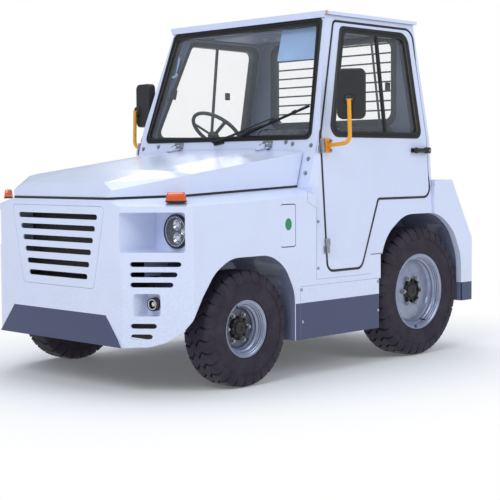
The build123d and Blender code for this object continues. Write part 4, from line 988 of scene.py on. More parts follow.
class WheelMaker:
    """Makes the tyre, rim, hub and nuts of one wheel."""

    # Each row, from the tread's middle to the sidewall: share of the half width, share of the height, relief
    # as a share of the tread depth, half length and shift along the tread as shares of the pitch
    LUG = (
        (-0.10, 1.00, 1.00, 0.17, 0.52), (0.10, 1.00, 1.00, 0.37, 0.44), (0.30, 1.00, 1.00, 0.41, 0.14),
        (0.48, 1.00, 1.00, 0.40, -0.10), (0.62, 1.00, 1.00, 0.41, 0.00), (0.80, 0.97, 0.95, 0.42, 0.08),
        (0.92, 0.87, 0.75, 0.42, 0.08), (0.98, 0.70, 0.45, 0.40, 0.06), (1.00, 0.58, 0.15, 0.36, 0.04),
    )
    # Where a lug starts to run down the wall, as a share of the half width, and its bevel
    SHOULDER, BEVEL = 0.62, 0.0022
    # The sidewall from the bead to the shoulder, as shares of the half width and of the height
    WALL = ((0.88, 0.00), (0.93, 0.05), (0.95, 0.13), (0.975, 0.16), (0.985, 0.20), (0.975, 0.24),
            (0.985, 0.40), (0.99, 0.52), (0.965, 0.60), (0.955, 0.70), (0.90, 0.82))
    # The rim's lip, from its half width and the tyre's seat, and its dish, from the disc and the barrel
    LIP = ((-0.007, 0.0), (-0.007, 0.0185), (-0.004, 0.0195), (0.0, 0.019), (0.003, 0.0155), (0.0025, 0.011),
           (-0.002, 0.0065), (-0.004, 0.001), (-0.0095, -0.0005), (-0.0115, -0.0045), (-0.020, -0.0035),
           (-0.023, -0.007))
    DISH = ((0.030, -0.0085), (0.026, -0.0125), (0.014, -0.014), (0.010, -0.018), (0.012, -0.021),
            (0.008, -0.025), (-0.001, -0.029), (0.0, -0.040))
    # The hub's cap: distance from its nose and share of the hub's radius
    CAP = ((-0.010, 0.66), (-0.004, 0.62), (0.0, 0.52), (0.001, 0.22), (-0.003, 0.18))
    LOBES, NUTS = 8, 6
    OUT = Vector((1.0, 0.0, 0.0))

    def __init__(self, shop: Workshop, size: WheelSize, side: Side) -> None:
        """Keeps the wheel's size and place.

        Args:
            shop: The workshop that seats the pieces.
            size: The wheel's size.
            side: Which side of the vehicle.
        """
        self.shop = shop
        self.size = size
        self.label = f"{size.axle.value}_{side.label}"
        self.rear = size.axle is Axle.REAR
        self.root = size.disc + 0.003
        x, y, z = size.centre
        self.seat = moved((side.value * x, y, z)) @ Matrix.Diagonal((side.value, 1.0, 1.0, 1.0))

    def _seat(self, name: str, mesh: Mesh, finish: str, slot: str, sharp: float = 32.0,
              stands_for: Sequence[str] = ()) -> bpy.types.Object:
        """Moves a mesh made about the X axis to the wheel's place."""
        bmesh.ops.transform(mesh, matrix=self.seat, verts=mesh.verts)
        return self.shop.piece(f"{name}_{self.label}", mesh, finish, f"wheel_{self.label}", slot, sharp,
                               stands_for)

    def _lug(self, mesh: Mesh, mirror: int, turn: float) -> None:
        """Adds one lug: a bent block from the tread's middle down onto the sidewall."""
        size = self.size
        pitch = 2 * math.pi / size.lugs
        rings = []
        for across, up, relief, half, shift in self.LUG:
            x, radius = size.wall(across, up)
            side_share = max(0.0, (across - self.SHOULDER) / (1.0 - self.SHOULDER))
            foot_x = x - 0.5 * size.lug_depth * relief * side_share
            foot_radius = radius - (size.lug_depth * relief + 0.002) * (1.0 - 0.75 * side_share)
            middle = turn + mirror * shift * pitch
            trim = self.BEVEL / radius
            ring = []
            for share, place_x, place_radius, cut in (
                    (-1, foot_x, foot_radius, -0.6), (-1, x, radius - self.BEVEL, 0.0), (-1, x, radius, 1.0),
                    (1, x, radius, 1.0), (1, x, radius - self.BEVEL, 0.0), (1, foot_x, foot_radius, -0.6)):
                angle = middle + share * (half * pitch - cut * trim)
                ring.append(mesh.verts.new((mirror * place_x, -place_radius * math.sin(angle),
                                            place_radius * math.cos(angle))))
            rings.append(ring)
        bridge(mesh, rings, closed=False, capped=True)

    def tyre(self) -> None:
        """The carcass with its moulded rings, and two rows of lugs."""
        size = self.size
        mesh = bmesh.new()
        bead = size.rim_width / 2 - 0.0073
        tread = size.outer - size.lug_depth
        outer_wall = [size.wall(across, up) for across, up in self.WALL]
        half = [(bead, size.seat + 0.0003), (bead, size.lip), *flowing(outer_wall, 3),
                (0.78 * size.width / 2, tread - 0.002), (0.55 * size.width / 2, tread), (0.0, tread)]
        spin(mesh, half + [(-x, radius) for x, radius in reversed(half[:-1])], 120, True)
        for mirror in (1, -1):
            for index in range(size.lugs):
                turn = 2 * math.pi * (index + (0.5 if mirror < 0 else 0.0)) / size.lugs
                self._lug(mesh, mirror, turn)
        self._seat("treaded_tyre", mesh, "tyre", "tyre_rubber", 38.0, (f"tyre_{self.label}",))

    def rim(self) -> None:
        """The silver rim: rolled lip, split lock ring, stepped barrel and dished disc."""
        size = self.size
        mesh = bmesh.new()
        half, seat, disc = size.rim_width / 2, size.seat, size.disc
        barrel = seat - 0.007
        face = [
            *((half + x, seat + rise) for x, rise in self.LIP), (half - 0.030, barrel - 0.0025),
            *((disc + x, barrel + rise) for x, rise in self.DISH), (self.root, size.hub + 0.052),
            (self.root, size.hub * 0.6), (disc - 0.009, size.hub * 0.6), (disc - 0.009, barrel - 0.004),
            (-half + 0.012, barrel - 0.002), (-half, barrel), (-half, seat + 0.018),
            (-half + 0.007, seat + 0.018), (-half + 0.007, seat),
        ]
        spin(mesh, face, 112, True)
        self._seat("steel_rim", mesh, f"rim_{size.axle.value}", "rim_silver", 28.0, (f"wheel_{self.label}",))

    def hub(self) -> None:
        """The black hub with its lobes and bolted cap."""
        size, root = self.size, self.root
        hub, nose, disc, circle = size.hub, size.nose, size.disc, size.nut_circle
        back = (0.575 if self.rear else 0.660) - size.centre[0]
        bore, body = (0.0302, hub * 1.02) if self.rear else (0.0202, hub * 0.96)
        mesh = bmesh.new()
        spin(mesh, [
            (back, bore), (back, body), (disc - 0.021, body), (disc - 0.021, circle + 0.020),
            (disc - 0.0095, circle + 0.020), (disc - 0.0095, hub), (root + 0.008, hub),
            (root + 0.012, hub - 0.003), (nose - 0.014, hub - 0.006), (nose - 0.010, hub - 0.009),
            *((nose + x, hub * share) for x, share in self.CAP), (nose - 0.003, 0.0006),
            (nose - 0.014, 0.0006), (nose - 0.014, bore)], 72, True)
        for index in range(self.LOBES):
            angle = 2 * math.pi * index / self.LOBES
            spoke = Vector((0.0, math.cos(angle), math.sin(angle)))
            place = moved(spoke * (hub - 0.004) + self.OUT * (root + 0.010)) @ Matrix.Rotation(angle, 4, "X")
            add_block(mesh, (0.022, 0.016, 0.015), place, 0.002, 1)
            add_bolt(mesh, spoke * (hub * 0.83) + self.OUT * (nose - 0.011), self.OUT, 0.010, 0.005)
        self._seat("black_hub", mesh, "hub", "drive_iron", 30.0)

    def nuts(self) -> None:
        """The wheel nuts with their washers and studs."""
        circle, across = self.size.nut_circle, self.size.nut_across
        mesh = bmesh.new()
        for index in range(self.NUTS):
            angle = 2 * math.pi * index / self.NUTS
            spot = Vector((self.root - 0.001, circle * math.cos(angle), circle * math.sin(angle)))
            add_rod(mesh, spot, spot + self.OUT * 0.003, across * 0.72, 24)
            add_hex(mesh, spot + self.OUT * 0.003, self.OUT, across, across * 0.62)
            add_rod(mesh, spot, spot + self.OUT * (across * 0.95), across * 0.30, 16, across * 0.26)
        self._seat("wheel_nuts", mesh, "steel", "rim_silver")

    def valve(self) -> None:
        """The lock ring's split, a thin shadow-black block that stands in for the shade in its gap, and the
        valve's stem.
        """
        size = self.size
        mesh = bmesh.new()
        turn = math.radians(-97 if self.rear else 118)
        # Painted shade: a dark block on the lip stands for the shade in the ring's split
        place = Matrix.Rotation(turn, 4, "X") @ moved((size.rim_width / 2 - 0.002, size.seat + 0.004, 0.0))
        add_block(mesh, (0.010, 0.020, 0.0022), place)
        foot = Matrix.Rotation(turn + 0.5, 4, "X") @ Vector((size.disc, size.seat - 0.018, 0.0))
        add_rod(mesh, foot + self.OUT * 0.020, foot + self.OUT * 0.056, 0.0042, 14, 0.0036)
        self._seat("rim_split_and_valve", mesh, "dark", "seal_rubber")

    def make(self) -> None:
        """Makes the whole wheel."""
        self.tyre()
        self.rim()
        self.hub()
        self.nuts()
        self.valve()


Seat = Callable[[float, float, float], Vector]
BEND_Z, BELT_Z, TOP_Z = 0.600, 1.256, 1.924
# How far the cab's sides lean in below the belt, in metres for each metre up
SIDE_LEAN = 0.0671
SCREEN_FOOT_Y, RAKE = -0.139, 0.28
FRONT_WAY = (0.0, -1.0, RAKE)
# The body's sides, and where the cab's sides start to lean
SIDE_FACE = 0.770
CAB_REAR_Y, CAB_WALL = 0.834, 0.036


def side_x(z: float) -> float:
    """The cab side's outer face at a height."""
    if z <= BEND_Z:
        return SIDE_FACE
    if z <= BELT_Z:
        return SIDE_FACE - 0.044 * (z - BEND_Z) / (BELT_Z - BEND_Z)
    return 0.726 - 0.120 * (z - BELT_Z) / (TOP_Z - BELT_Z)


def on_side(side: Side) -> Seat:
    """Seats (y, z, distance outward) on one of the cab's sides."""
    def seat(y: float, z: float, out: float) -> Vector:
        """A point on the side."""
        return Vector((side.value * (side_x(z) + out), y, z))

    return seat


def on_front(x: float, z: float, out: float) -> Vector:
    """A point on the cab's raked front plane, moved forward by a distance."""
    return Vector((x, SCREEN_FOOT_Y + RAKE * (z - BELT_Z) - out, z))


def on_rear(x: float, z: float, out: float) -> Vector:
    """A point on the cab's rear wall, moved rearward by a distance."""
    return Vector((x, CAB_REAR_Y + out, z))


def both_ways(points: Sequence[Point]) -> list[Point]:
    """Corners on the +X half of an outline, lowest first, and their mirror images."""
    return [*points, *((-x, z, radius) for x, z, radius in reversed(points))]


def add_band(mesh: Mesh, outer: list[Pair], inner: list[Pair], seat: Seat,
             section: Sequence[Pair]) -> None:
    """Adds a rubber or sheet band between two outlines of as many points.

    Args:
        mesh: The mesh that grows.
        outer: The outer outline.
        inner: The inner outline.
        seat: Places (first, second, distance out) in the row frame.
        section: The band's closed section, as share from outer to inner and distance out.
    """
    rings = []
    for share, out in section:
        rings.append([mesh.verts.new(seat(a[0] + (b[0] - a[0]) * share, a[1] + (b[1] - a[1]) * share, out))
                      for a, b in zip(outer, inner)])
    bridge(mesh, [*rings, rings[0]])


def add_plate(mesh: Mesh, outline: Sequence[Pair], seat: Seat, back: float, front: float) -> None:
    """Adds a plate over an outline, from one distance out to another; see add_band()."""
    lower = [mesh.verts.new(seat(a, b, back)) for a, b in outline]
    upper = [mesh.verts.new(seat(a, b, front)) for a, b in outline]
    mesh.faces.new(lower)
    mesh.faces.new(upper)
    bridge(mesh, [lower, upper])


def rubber(front: float, back: float) -> list[Pair]:
    """The section of a window rubber with a groove along its face."""
    face = ((0.0, 0.5), (0.08, 1.0), (0.42, 1.0), (0.46, 0.45), (0.54, 0.45), (0.58, 1.0), (0.9, 0.9),
            (1.0, 0.4))
    return [(0.0, back), *((share, front * rise) for share, rise in face), (1.0, back)]


def sleeve(front: float, back: float) -> list[Pair]:
    """The section of a plain band from one distance out to another."""
    return [(0.0, front), (0.0, back), (1.0, back), (1.0, front)]


# Corners on the cab's faces: (y, z, radius) on a side, (x, z, radius) on the front and the rear
DOOR_OUTLINE = [(-0.128, 0.545, 0.05), (0.157, 0.545, 0.05), (0.331, 0.918, 0.02), (0.812, 0.918, 0.06),
                (0.812, 1.893, 0.06), (0.110, 1.893, 0.036), (-0.128, 1.262, 0.15)]
WINDOW_OUTLINE = [(-0.051, 1.262, 0.05), (0.757, 1.262, 0.05), (0.757, 1.864, 0.06), (0.164, 1.864, 0.04)]
WINDOW_INNER = [(-0.005, 1.289, 0.034), (0.722, 1.289, 0.034), (0.722, 1.832, 0.045), (0.190, 1.832, 0.03)]
WINDOW_INNER_FAR = [(-0.026, 1.284, 0.034), (0.716, 1.289, 0.034), (0.716, 1.836, 0.045),
                    (0.172, 1.842, 0.036)]
SCREEN_OUTER = both_ways([(0.674, 1.244, 0.036), (0.597, 1.906, 0.03)])
SCREEN_INNER = both_ways([(0.648, 1.273, 0.026), (0.562, 1.869, 0.026)])
SCREEN_HOLE = both_ways([(0.6553, 1.2677, 0.03), (0.5663, 1.8943, 0.03)])
REAR_OUTER = both_ways([(0.512, 1.338, 0.072), (0.512, 1.876, 0.072)])
REAR_INNER = both_ways([(0.474, 1.376, 0.05), (0.474, 1.838, 0.05)])
REAR_HOLE = both_ways([(0.5003, 1.3497, 0.06), (0.5003, 1.8623, 0.06)])
WINDOW_LIP = [(-0.058, 1.256, 0.055), (0.763, 1.256, 0.055), (0.763, 1.870, 0.066), (0.160, 1.870, 0.045)]


class CabMaker(Maker):
    """Seals, window bars, wiper, visor, bolts, seams and the sticker of the cab."""

    # Sliding windows' bars: y at the foot and at the head, half width, and how far out back and front lie
    NEAR_BARS = ((0.4424, 0.4831, 0.010, -0.020, -0.006), (0.4171, 0.4498, 0.006, -0.026, -0.019))
    FAR_BARS = ((0.4436, 0.4065, 0.0075, -0.022, -0.010),)
    VISOR = ((0.262, 1.690, 0.014), (0.560, 1.688, 0.014), (0.556, 1.866, 0.008), (0.257, 1.866, 0.008))
    # Bolts on the cab's front: place across, height, and the sides that have them
    FRONT_BOLTS = ((0.545, 1.222, (1, -1)), (0.680, 1.212, (1, -1)), (0.678, 1.140, (1, -1)),
                   (0.676, 1.066, (1, -1)), (0.494, 1.232, (1,)))
    # Round heads, seams and a slot on the body's sides, as y and z; and a seam's width
    SIDE_SCREWS = ((-0.199, 0.811), (-0.200, 0.566), (-0.331, 0.462), (0.302, 0.462), (-0.324, 0.294),
                   (0.300, 0.301))
    SEAMS = (((-0.2125, 0.508), (-0.2125, 0.884), (-0.279, 0.917), (-0.281, 0.968)),
             ((-0.2125, 0.508), (0.232, 0.508)), ((-0.334, 0.4785), (0.314, 0.4785)),
             ((-0.338, 0.470), (-0.338, 0.215)))
    SILL_SLOT = ((0.238, 0.611), (0.338, 0.611), (0.338, 0.618), (0.238, 0.618))
    SEAM = 0.0016

    def window_rubbers(self) -> None:
        """Black rubbers round the windscreen and the rear window, seen from both sides."""
        mesh = bmesh.new()
        add_band(mesh, rounded(SCREEN_OUTER), rounded(SCREEN_INNER), on_front, rubber(0.006, -0.0015))
        add_band(mesh, rounded(SCREEN_HOLE), rounded(SCREEN_INNER), on_front, sleeve(-0.001, -0.042))
        self.shop.piece("windscreen_rubber", mesh, "seal", "body", "seal_rubber", 40.0)
        mesh = bmesh.new()
        add_band(mesh, rounded(REAR_OUTER), rounded(REAR_INNER), on_rear, rubber(0.005, -0.0015))
        add_band(mesh, rounded(REAR_HOLE), rounded(REAR_INNER), on_rear, sleeve(-0.001, -0.036))
        add_band(mesh, rounded(REAR_OUTER), rounded(REAR_INNER), on_rear,
                 [(0.0, -0.0355), (0.0, -0.039), (0.1, -0.041), (0.9, -0.041), (1.0, -0.039), (1.0, -0.0355)])
        self.shop.piece("rear_window_rubber", mesh, "seal", "body", "seal_rubber", 40.0)

    def door_rubbers(self, side: Side) -> None:
        """The door's window rubber with its sliding pane's bars, and the bead round the door opening."""
        seat = on_side(side)
        mesh = bmesh.new()
        near = side is Side.LEFT
        door = f"door_{side.label}"
        inner = rounded(WINDOW_INNER if near else WINDOW_INNER_FAR)
        outer, lip = rounded(WINDOW_OUTLINE), rounded(WINDOW_LIP)
        add_band(mesh, lip, inner, seat, rubber(0.0045, -0.0015))
        add_band(mesh, outer, inner, seat, sleeve(-0.001, -0.037))
        add_band(mesh, lip, inner, seat, sleeve(-0.0365, -0.041))
        self.shop.piece(f"window_rubber_{side.label}", mesh, "seal", door, "seal_rubber", 40.0)
        bars = bmesh.new()
        low_z, high_z = 1.280, 1.842
        for low_y, high_y, half, back, front in self.NEAR_BARS if near else self.FAR_BARS:
            add_plate(bars, [(low_y - half, low_z), (low_y + half, low_z), (high_y + half, high_z),
                             (high_y - half, high_z)], seat, back, front)
        add_block(bars, (0.016, 0.034, 0.046), moved(seat(0.539, 1.551, -0.022)), 0.004)
        self.shop.piece(f"window_bars_{side.label}", bars, "seal", door, "seal_rubber")
        route = [seat(y, z, -0.0025) for y, z in rounded(DOOR_OUTLINE, 9)]
        bead = sweep(f"door_bead_{side.label}", route, 0.0072, True)
        self.shop.place(bead, "seal", "body", "seal_rubber", 60.0)

    def wiper(self) -> None:
        """The single wiper with its parallel link and blade."""
        mesh = bmesh.new()
        pivot, link = on_front(-0.048, 1.238, 0.0), on_front(0.000, 1.246, 0.0)
        head, head_two = on_front(0.360, 1.335, 0.028), on_front(0.392, 1.368, 0.028)
        away = Vector(FRONT_WAY).normalized()
        add_rod(mesh, pivot - away * 0.002, pivot + away * 0.034, 0.013, 24, 0.011, 0.002)
        add_rod(mesh, link - away * 0.002, link + away * 0.030, 0.009, 20, 0.008, 0.001)
        foot = moved((pivot + link) / 2 + away * 0.005) @ basis(away, Vector((1.0, 0.0, 0.15)))
        add_block(mesh, (0.078, 0.034, 0.014), foot, 0.004)
        add_rod(mesh, pivot + away * 0.026, head, 0.0062, 12, 0.0045)
        add_rod(mesh, link + away * 0.026, head_two, 0.0045, 12, 0.0035)
        add_rod(mesh, head, head_two, 0.005, 12)
        start, end = on_front(0.150, 1.272, 0.016), on_front(0.628, 1.426, 0.016)
        blade, middle = end - start, (start + end) / 2
        flat = basis(away, blade)
        add_block(mesh, (blade.length, 0.009, 0.010), moved(middle) @ flat, 0.002)
        add_block(mesh, (blade.length * 0.98, 0.003, 0.014), moved(middle - away * 0.008) @ flat)
        for share in (0.2, 0.5, 0.8):
            add_block(mesh, (0.030, 0.013, 0.010), moved(start + blade * share + away * 0.006) @ flat, 0.003)
        add_rod(mesh, (head + head_two) / 2, middle + away * 0.006, 0.0045, 12)
        self.shop.piece("wiper", mesh, "plastic", "body", "black_plastic")

    def roof_trim(self) -> None:
        """The sun visor, and the panel with its round lamp under the roof."""
        visor = bmesh.new()
        add_plate(visor, rounded(self.VISOR), on_front, -0.058, -0.052)
        self.shop.piece("sun_visor", visor, "visor", "body", "interior_plastic")
        panel = bmesh.new()
        add_block(panel, (0.62, 0.34, 0.030), moved((-0.10, 0.36, 1.883)), 0.010)
        add_rod(panel, (-0.10, 0.36, 1.868), (-0.10, 0.36, 1.850), 0.046, 32, 0.036)
        self.shop.piece("ceiling_panel", panel, "lining", "body", "interior_plastic")

    def bolts(self) -> None:
        """Bolt heads on the cab's front, along the seams and on the sill covers and skirts."""
        mesh = bmesh.new()
        for x, z, signs in self.FRONT_BOLTS:
            for sign in signs:
                add_bolt(mesh, on_front(sign * x, z, 0.0), FRONT_WAY, 0.015, 0.007)
        for sign in (1, -1):
            for y, z in self.SIDE_SCREWS:
                add_dome(mesh, (sign * SIDE_FACE, y, z), (sign, 0, 0), 0.0085, 0.006)
        self.shop.piece("bolt_heads", mesh, "steel", "body", "hitch_steel")

    def seams(self) -> None:
        """Thin dark lines where panels meet."""
        mesh = bmesh.new()
        for side in Side:
            for route in self.SEAMS:
                for first, second in zip(route, route[1:]):
                    a, b = (Vector((side.value * (SIDE_FACE - 0.0003), *point)) for point in (first, second))
                    place = moved((a + b) / 2) @ basis(Vector((1, 0, 0)), (b - a).normalized())
                    add_block(mesh, ((b - a).length + self.SEAM, self.SEAM, 0.0010), place)
            add_plate(mesh, self.SILL_SLOT, on_side(side), -0.002, 0.0004)
        self.shop.piece("panel_seams", mesh, "shade", "body", "slate_paint")

    def stickers(self) -> None:
        """A plain green sticker on the service flap."""
        mesh = bmesh.new()
        angles = [step * math.pi / 16 for step in range(32)]
        ring = [(-0.428 + 0.024 * math.cos(angle), 0.806 + 0.031 * math.sin(angle)) for angle in angles]
        add_plate(mesh, ring, lambda y, z, out: Vector((SIDE_FACE + out, y, z)), -0.0004, 0.0006)
        self.shop.piece("flap_sticker", mesh, "green", "service_flap", "body_white")

    def make(self) -> None:
        """Makes all of it."""
        self.window_rubbers()
        for side in Side:
            self.door_rubbers(side)
        self.wiper()
        self.roof_trim()
        self.bolts()
        self.seams()
        self.stickers()


class DoorFittings(SideMaker):
    """The mirror on its yellow arm, the handle and the hinge covers of one door."""

    def __init__(self, shop: Workshop, side: Side) -> None:
        """Keeps the workshop and the side, and settles how far this side's mirror reaches and turns."""
        super().__init__(shop, side)
        near = side is Side.LEFT
        self.door = f"door_{side.label}"
        self.reach, self.head_turn, self.head_shift = (0.885, 36.0, 0.010) if near else (0.850, 9.0, -0.058)

    def _seat(self, name: str, mesh: Mesh, finish: str, slot: str, sharp: float = 32.0,
              stands_for: Sequence[str] = ()) -> bpy.types.Object:
        """Mirrors a mesh made for the left door where the right one is wanted."""
        bmesh.ops.transform(mesh, matrix=self.mirror, verts=mesh.verts)
        return self.shop.piece(f"{name}_{self.side.label}", mesh, finish, self.door, slot, sharp, stands_for)

    def arm(self) -> None:
        """The bent yellow tube on its bolted foot."""
        y, foot_z, x = -0.076, 1.210, self.reach
        flange_x = side_x(foot_z)
        elbow = [Vector((x - 0.045 * (1 - math.sin(a)), y, foot_z + 0.055 - 0.045 * math.cos(a)))
                 for a in (QUARTER * step / 8 for step in range(9))]
        route = [Vector((flange_x + 0.004, y, foot_z + 0.002)), Vector((flange_x + 0.05, y, foot_z + 0.005)),
                 *elbow, Vector((x - 0.002, y, 1.330)), Vector((x - 0.006, y, 1.452))]
        route = [self.mirror @ point for point in route]
        tube = sweep(f"mirror_arm_{self.side.label}", route, 0.011, sides=6)
        self.shop.place(tube, "arm", self.door, "hitch_steel", 40.0, (f"door_fittings_{self.side.label}",))
        foot = bmesh.new()
        lean = Matrix.Rotation(-math.atan(SIDE_LEAN), 4, "Y")
        add_block(foot, (0.010, 0.044, 0.076), moved((flange_x + 0.0045, y, foot_z + 0.001)) @ lean, 0.003)
        for rise in (-0.026, 0.026):
            z = foot_z + rise
            add_rod(foot, (flange_x + 0.006, y, z), (flange_x + 0.024, y, z), 0.012, 20, 0.011)
        self._seat("mirror_foot", foot, "arm", "hitch_steel")
        heads = bmesh.new()
        for rise in (-0.026, 0.026):
            add_bolt(heads, (flange_x + 0.023, y, foot_z + rise), (1, 0, 0), 0.013, 0.007)
        self._seat("mirror_bolts", heads, "steel", "hitch_steel")

    def head(self) -> None:
        """The rounded black housing, its clamp and the mirror face."""
        turn = math.radians(self.head_turn)
        place = moved((self.reach - 0.006, -0.076, 1.480)) @ Matrix.Rotation(
            turn, 4, "Z") @ moved((self.head_shift, 0.0423, 0.0))
        half_wide, half_high = 0.075, 0.1325
        loops = (
            (0.94, -0.026, 0.026), (0.985, -0.021, 0.030), (1.0, -0.010, 0.032), (1.0, 0.018, 0.032),
            (0.985, 0.024, 0.030), (0.955, 0.026, 0.028),
        )
        mesh = bmesh.new()
        rings = []
        for share, depth, radius in loops:
            wide, high = half_wide - (1 - share) * 0.12, half_high - (1 - share) * 0.12
            outline = box_outline(wide, high, radius, 8)
            rings.append([mesh.verts.new(place @ Vector((a, depth, b))) for a, b in outline])
        bridge(mesh, rings, capped=True)
        clamp = -self.head_shift
        ball = place @ Vector((clamp, -0.030, -0.040))
        add_rod(mesh, ball + Vector((0, 0, -0.028)), ball + Vector((0, 0, 0.012)), 0.015, 24, 0.013, 0.002)
        plate = [place @ Vector((clamp, depth, -0.030)) for depth in (-0.024, -0.036)]
        add_rod(mesh, *plate, 0.030, 32, 0.024, 0.002)
        self._seat("mirror_head", mesh, "plastic", "black_plastic")
        dots = bmesh.new()
        for across in (clamp - 0.012, clamp + 0.012):
            away = place.to_3x3() @ Vector((0, -1, 0))
            add_dome(dots, place @ Vector((across, -0.036, -0.030)), away, 0.0042, 0.003)
        self._seat("mirror_screws", dots, "steel", "hitch_steel")
        face = bmesh.new()
        add_plate(face, box_outline(0.066, 0.123, 0.024, 8), lambda a, b, out: place @ Vector((a, out, b)),
                  0.0255, 0.0272)
        self._seat("mirror_face", face, "mirror", "rim_silver")

    def handle(self) -> None:
        """The black pull handle with its grip and lock."""
        z = 1.188
        x = side_x(z)
        mesh = bmesh.new()
        add_block(mesh, (0.007, 0.150, 0.026), moved((x + 0.004, 0.726, z)), 0.003)
        for y in (0.676, 0.776):
            add_block(mesh, (0.030, 0.020, 0.022), moved((x + 0.015, y, z)), 0.004)
        add_block(mesh, (0.016, 0.088, 0.022), moved((x + 0.033, 0.703, z)), 0.007, 3)
        add_block(mesh, (0.024, 0.052, 0.036), moved((x + 0.029, 0.772, z)), 0.009, 3)
        add_block(mesh, (0.020, 0.020, 0.034), moved((x + 0.031, 0.664, z)), 0.007, 3)
        self._seat("door_handle", mesh, "plastic", "black_plastic")
        lock = bmesh.new()
        add_rod(lock, (x + 0.040, 0.778, z), (x + 0.044, 0.778, z), 0.008, 20)
        self._seat("door_lock", lock, "steel", "hitch_steel")

    def hinges(self) -> None:
        """Plated hinge barrels over the CAD ones, each half on its own body, with their screws."""
        for name, body, shift in (("hinge_fixed", "body", -1), ("hinge_moving", self.door, 1)):
            mesh = bmesh.new()
            for z in (0.680, 1.210):
                span = sorted((z + shift * 0.0006, z + shift * 0.0382))
                low, high = (Vector((SIDE_FACE - SIDE_LEAN * (h - BEND_Z) + 0.012, -0.130, h)) for h in span)
                add_rod(mesh, low, high, 0.0106, 24)
                middle = (span[0] + span[1]) / 2
                leaf = moved((side_x(middle) + 0.0066, -0.130 + shift * 0.015, middle)) @ Matrix.Rotation(
                    -math.atan(SIDE_LEAN), 4, "Y")
                add_block(mesh, (0.0010, 0.027, span[1] - span[0]), leaf)
                for rise in (-0.011, 0.011):
                    add_dome(mesh, (side_x(middle + rise) + 0.0068, -0.130 + shift * 0.019, middle + rise),
                             (1, 0, 0.067), 0.0042, 0.003)
            bmesh.ops.transform(mesh, matrix=self.mirror, verts=mesh.verts)
            self.shop.piece(f"{name}_{self.side.label}", mesh, "steel", body, "hitch_steel")

    def make(self) -> None:
        """Makes one door's fittings."""
        self.arm()
        self.head()
        self.handle()
        self.hinges()


def add_spun(mesh: Mesh, section: Sequence[Pair], place: Matrix, segments: int = 48,
             closed: bool = False) -> None:
    """Adds a form turned about its own X axis at a place; see spin().

    Args:
        mesh: The mesh that grows.
        section: Points (distance along the axis, radius).
        place: Takes the form's X axis to its place.
        segments: Steps round.
        closed: Whether the section runs back into its start.
    """
    before = set(mesh.verts)
    spin(mesh, section, segments, closed)
    bmesh.ops.transform(mesh, matrix=place, verts=[vert for vert in mesh.verts if vert not in before])


def add_loft(mesh: Mesh, loops: Sequence[tuple[float, float, float, float]], place: Matrix,
             steps: int = 7) -> None:
    """Adds a closed form through rounded rectangles.

    Args:
        mesh: The mesh that grows.
        loops: Half width, half depth, corner radius and height of each rectangle, from below.
        place: Takes the form to its place.
        steps: Steps round each corner.
    """
    rings = []
    for wide, deep, radius, height in loops:
        outline = box_outline(wide, deep, radius, steps)
        rings.append([mesh.verts.new(place @ Vector((a, b, height))) for a, b in outline])
    bridge(mesh, rings, capped=True)


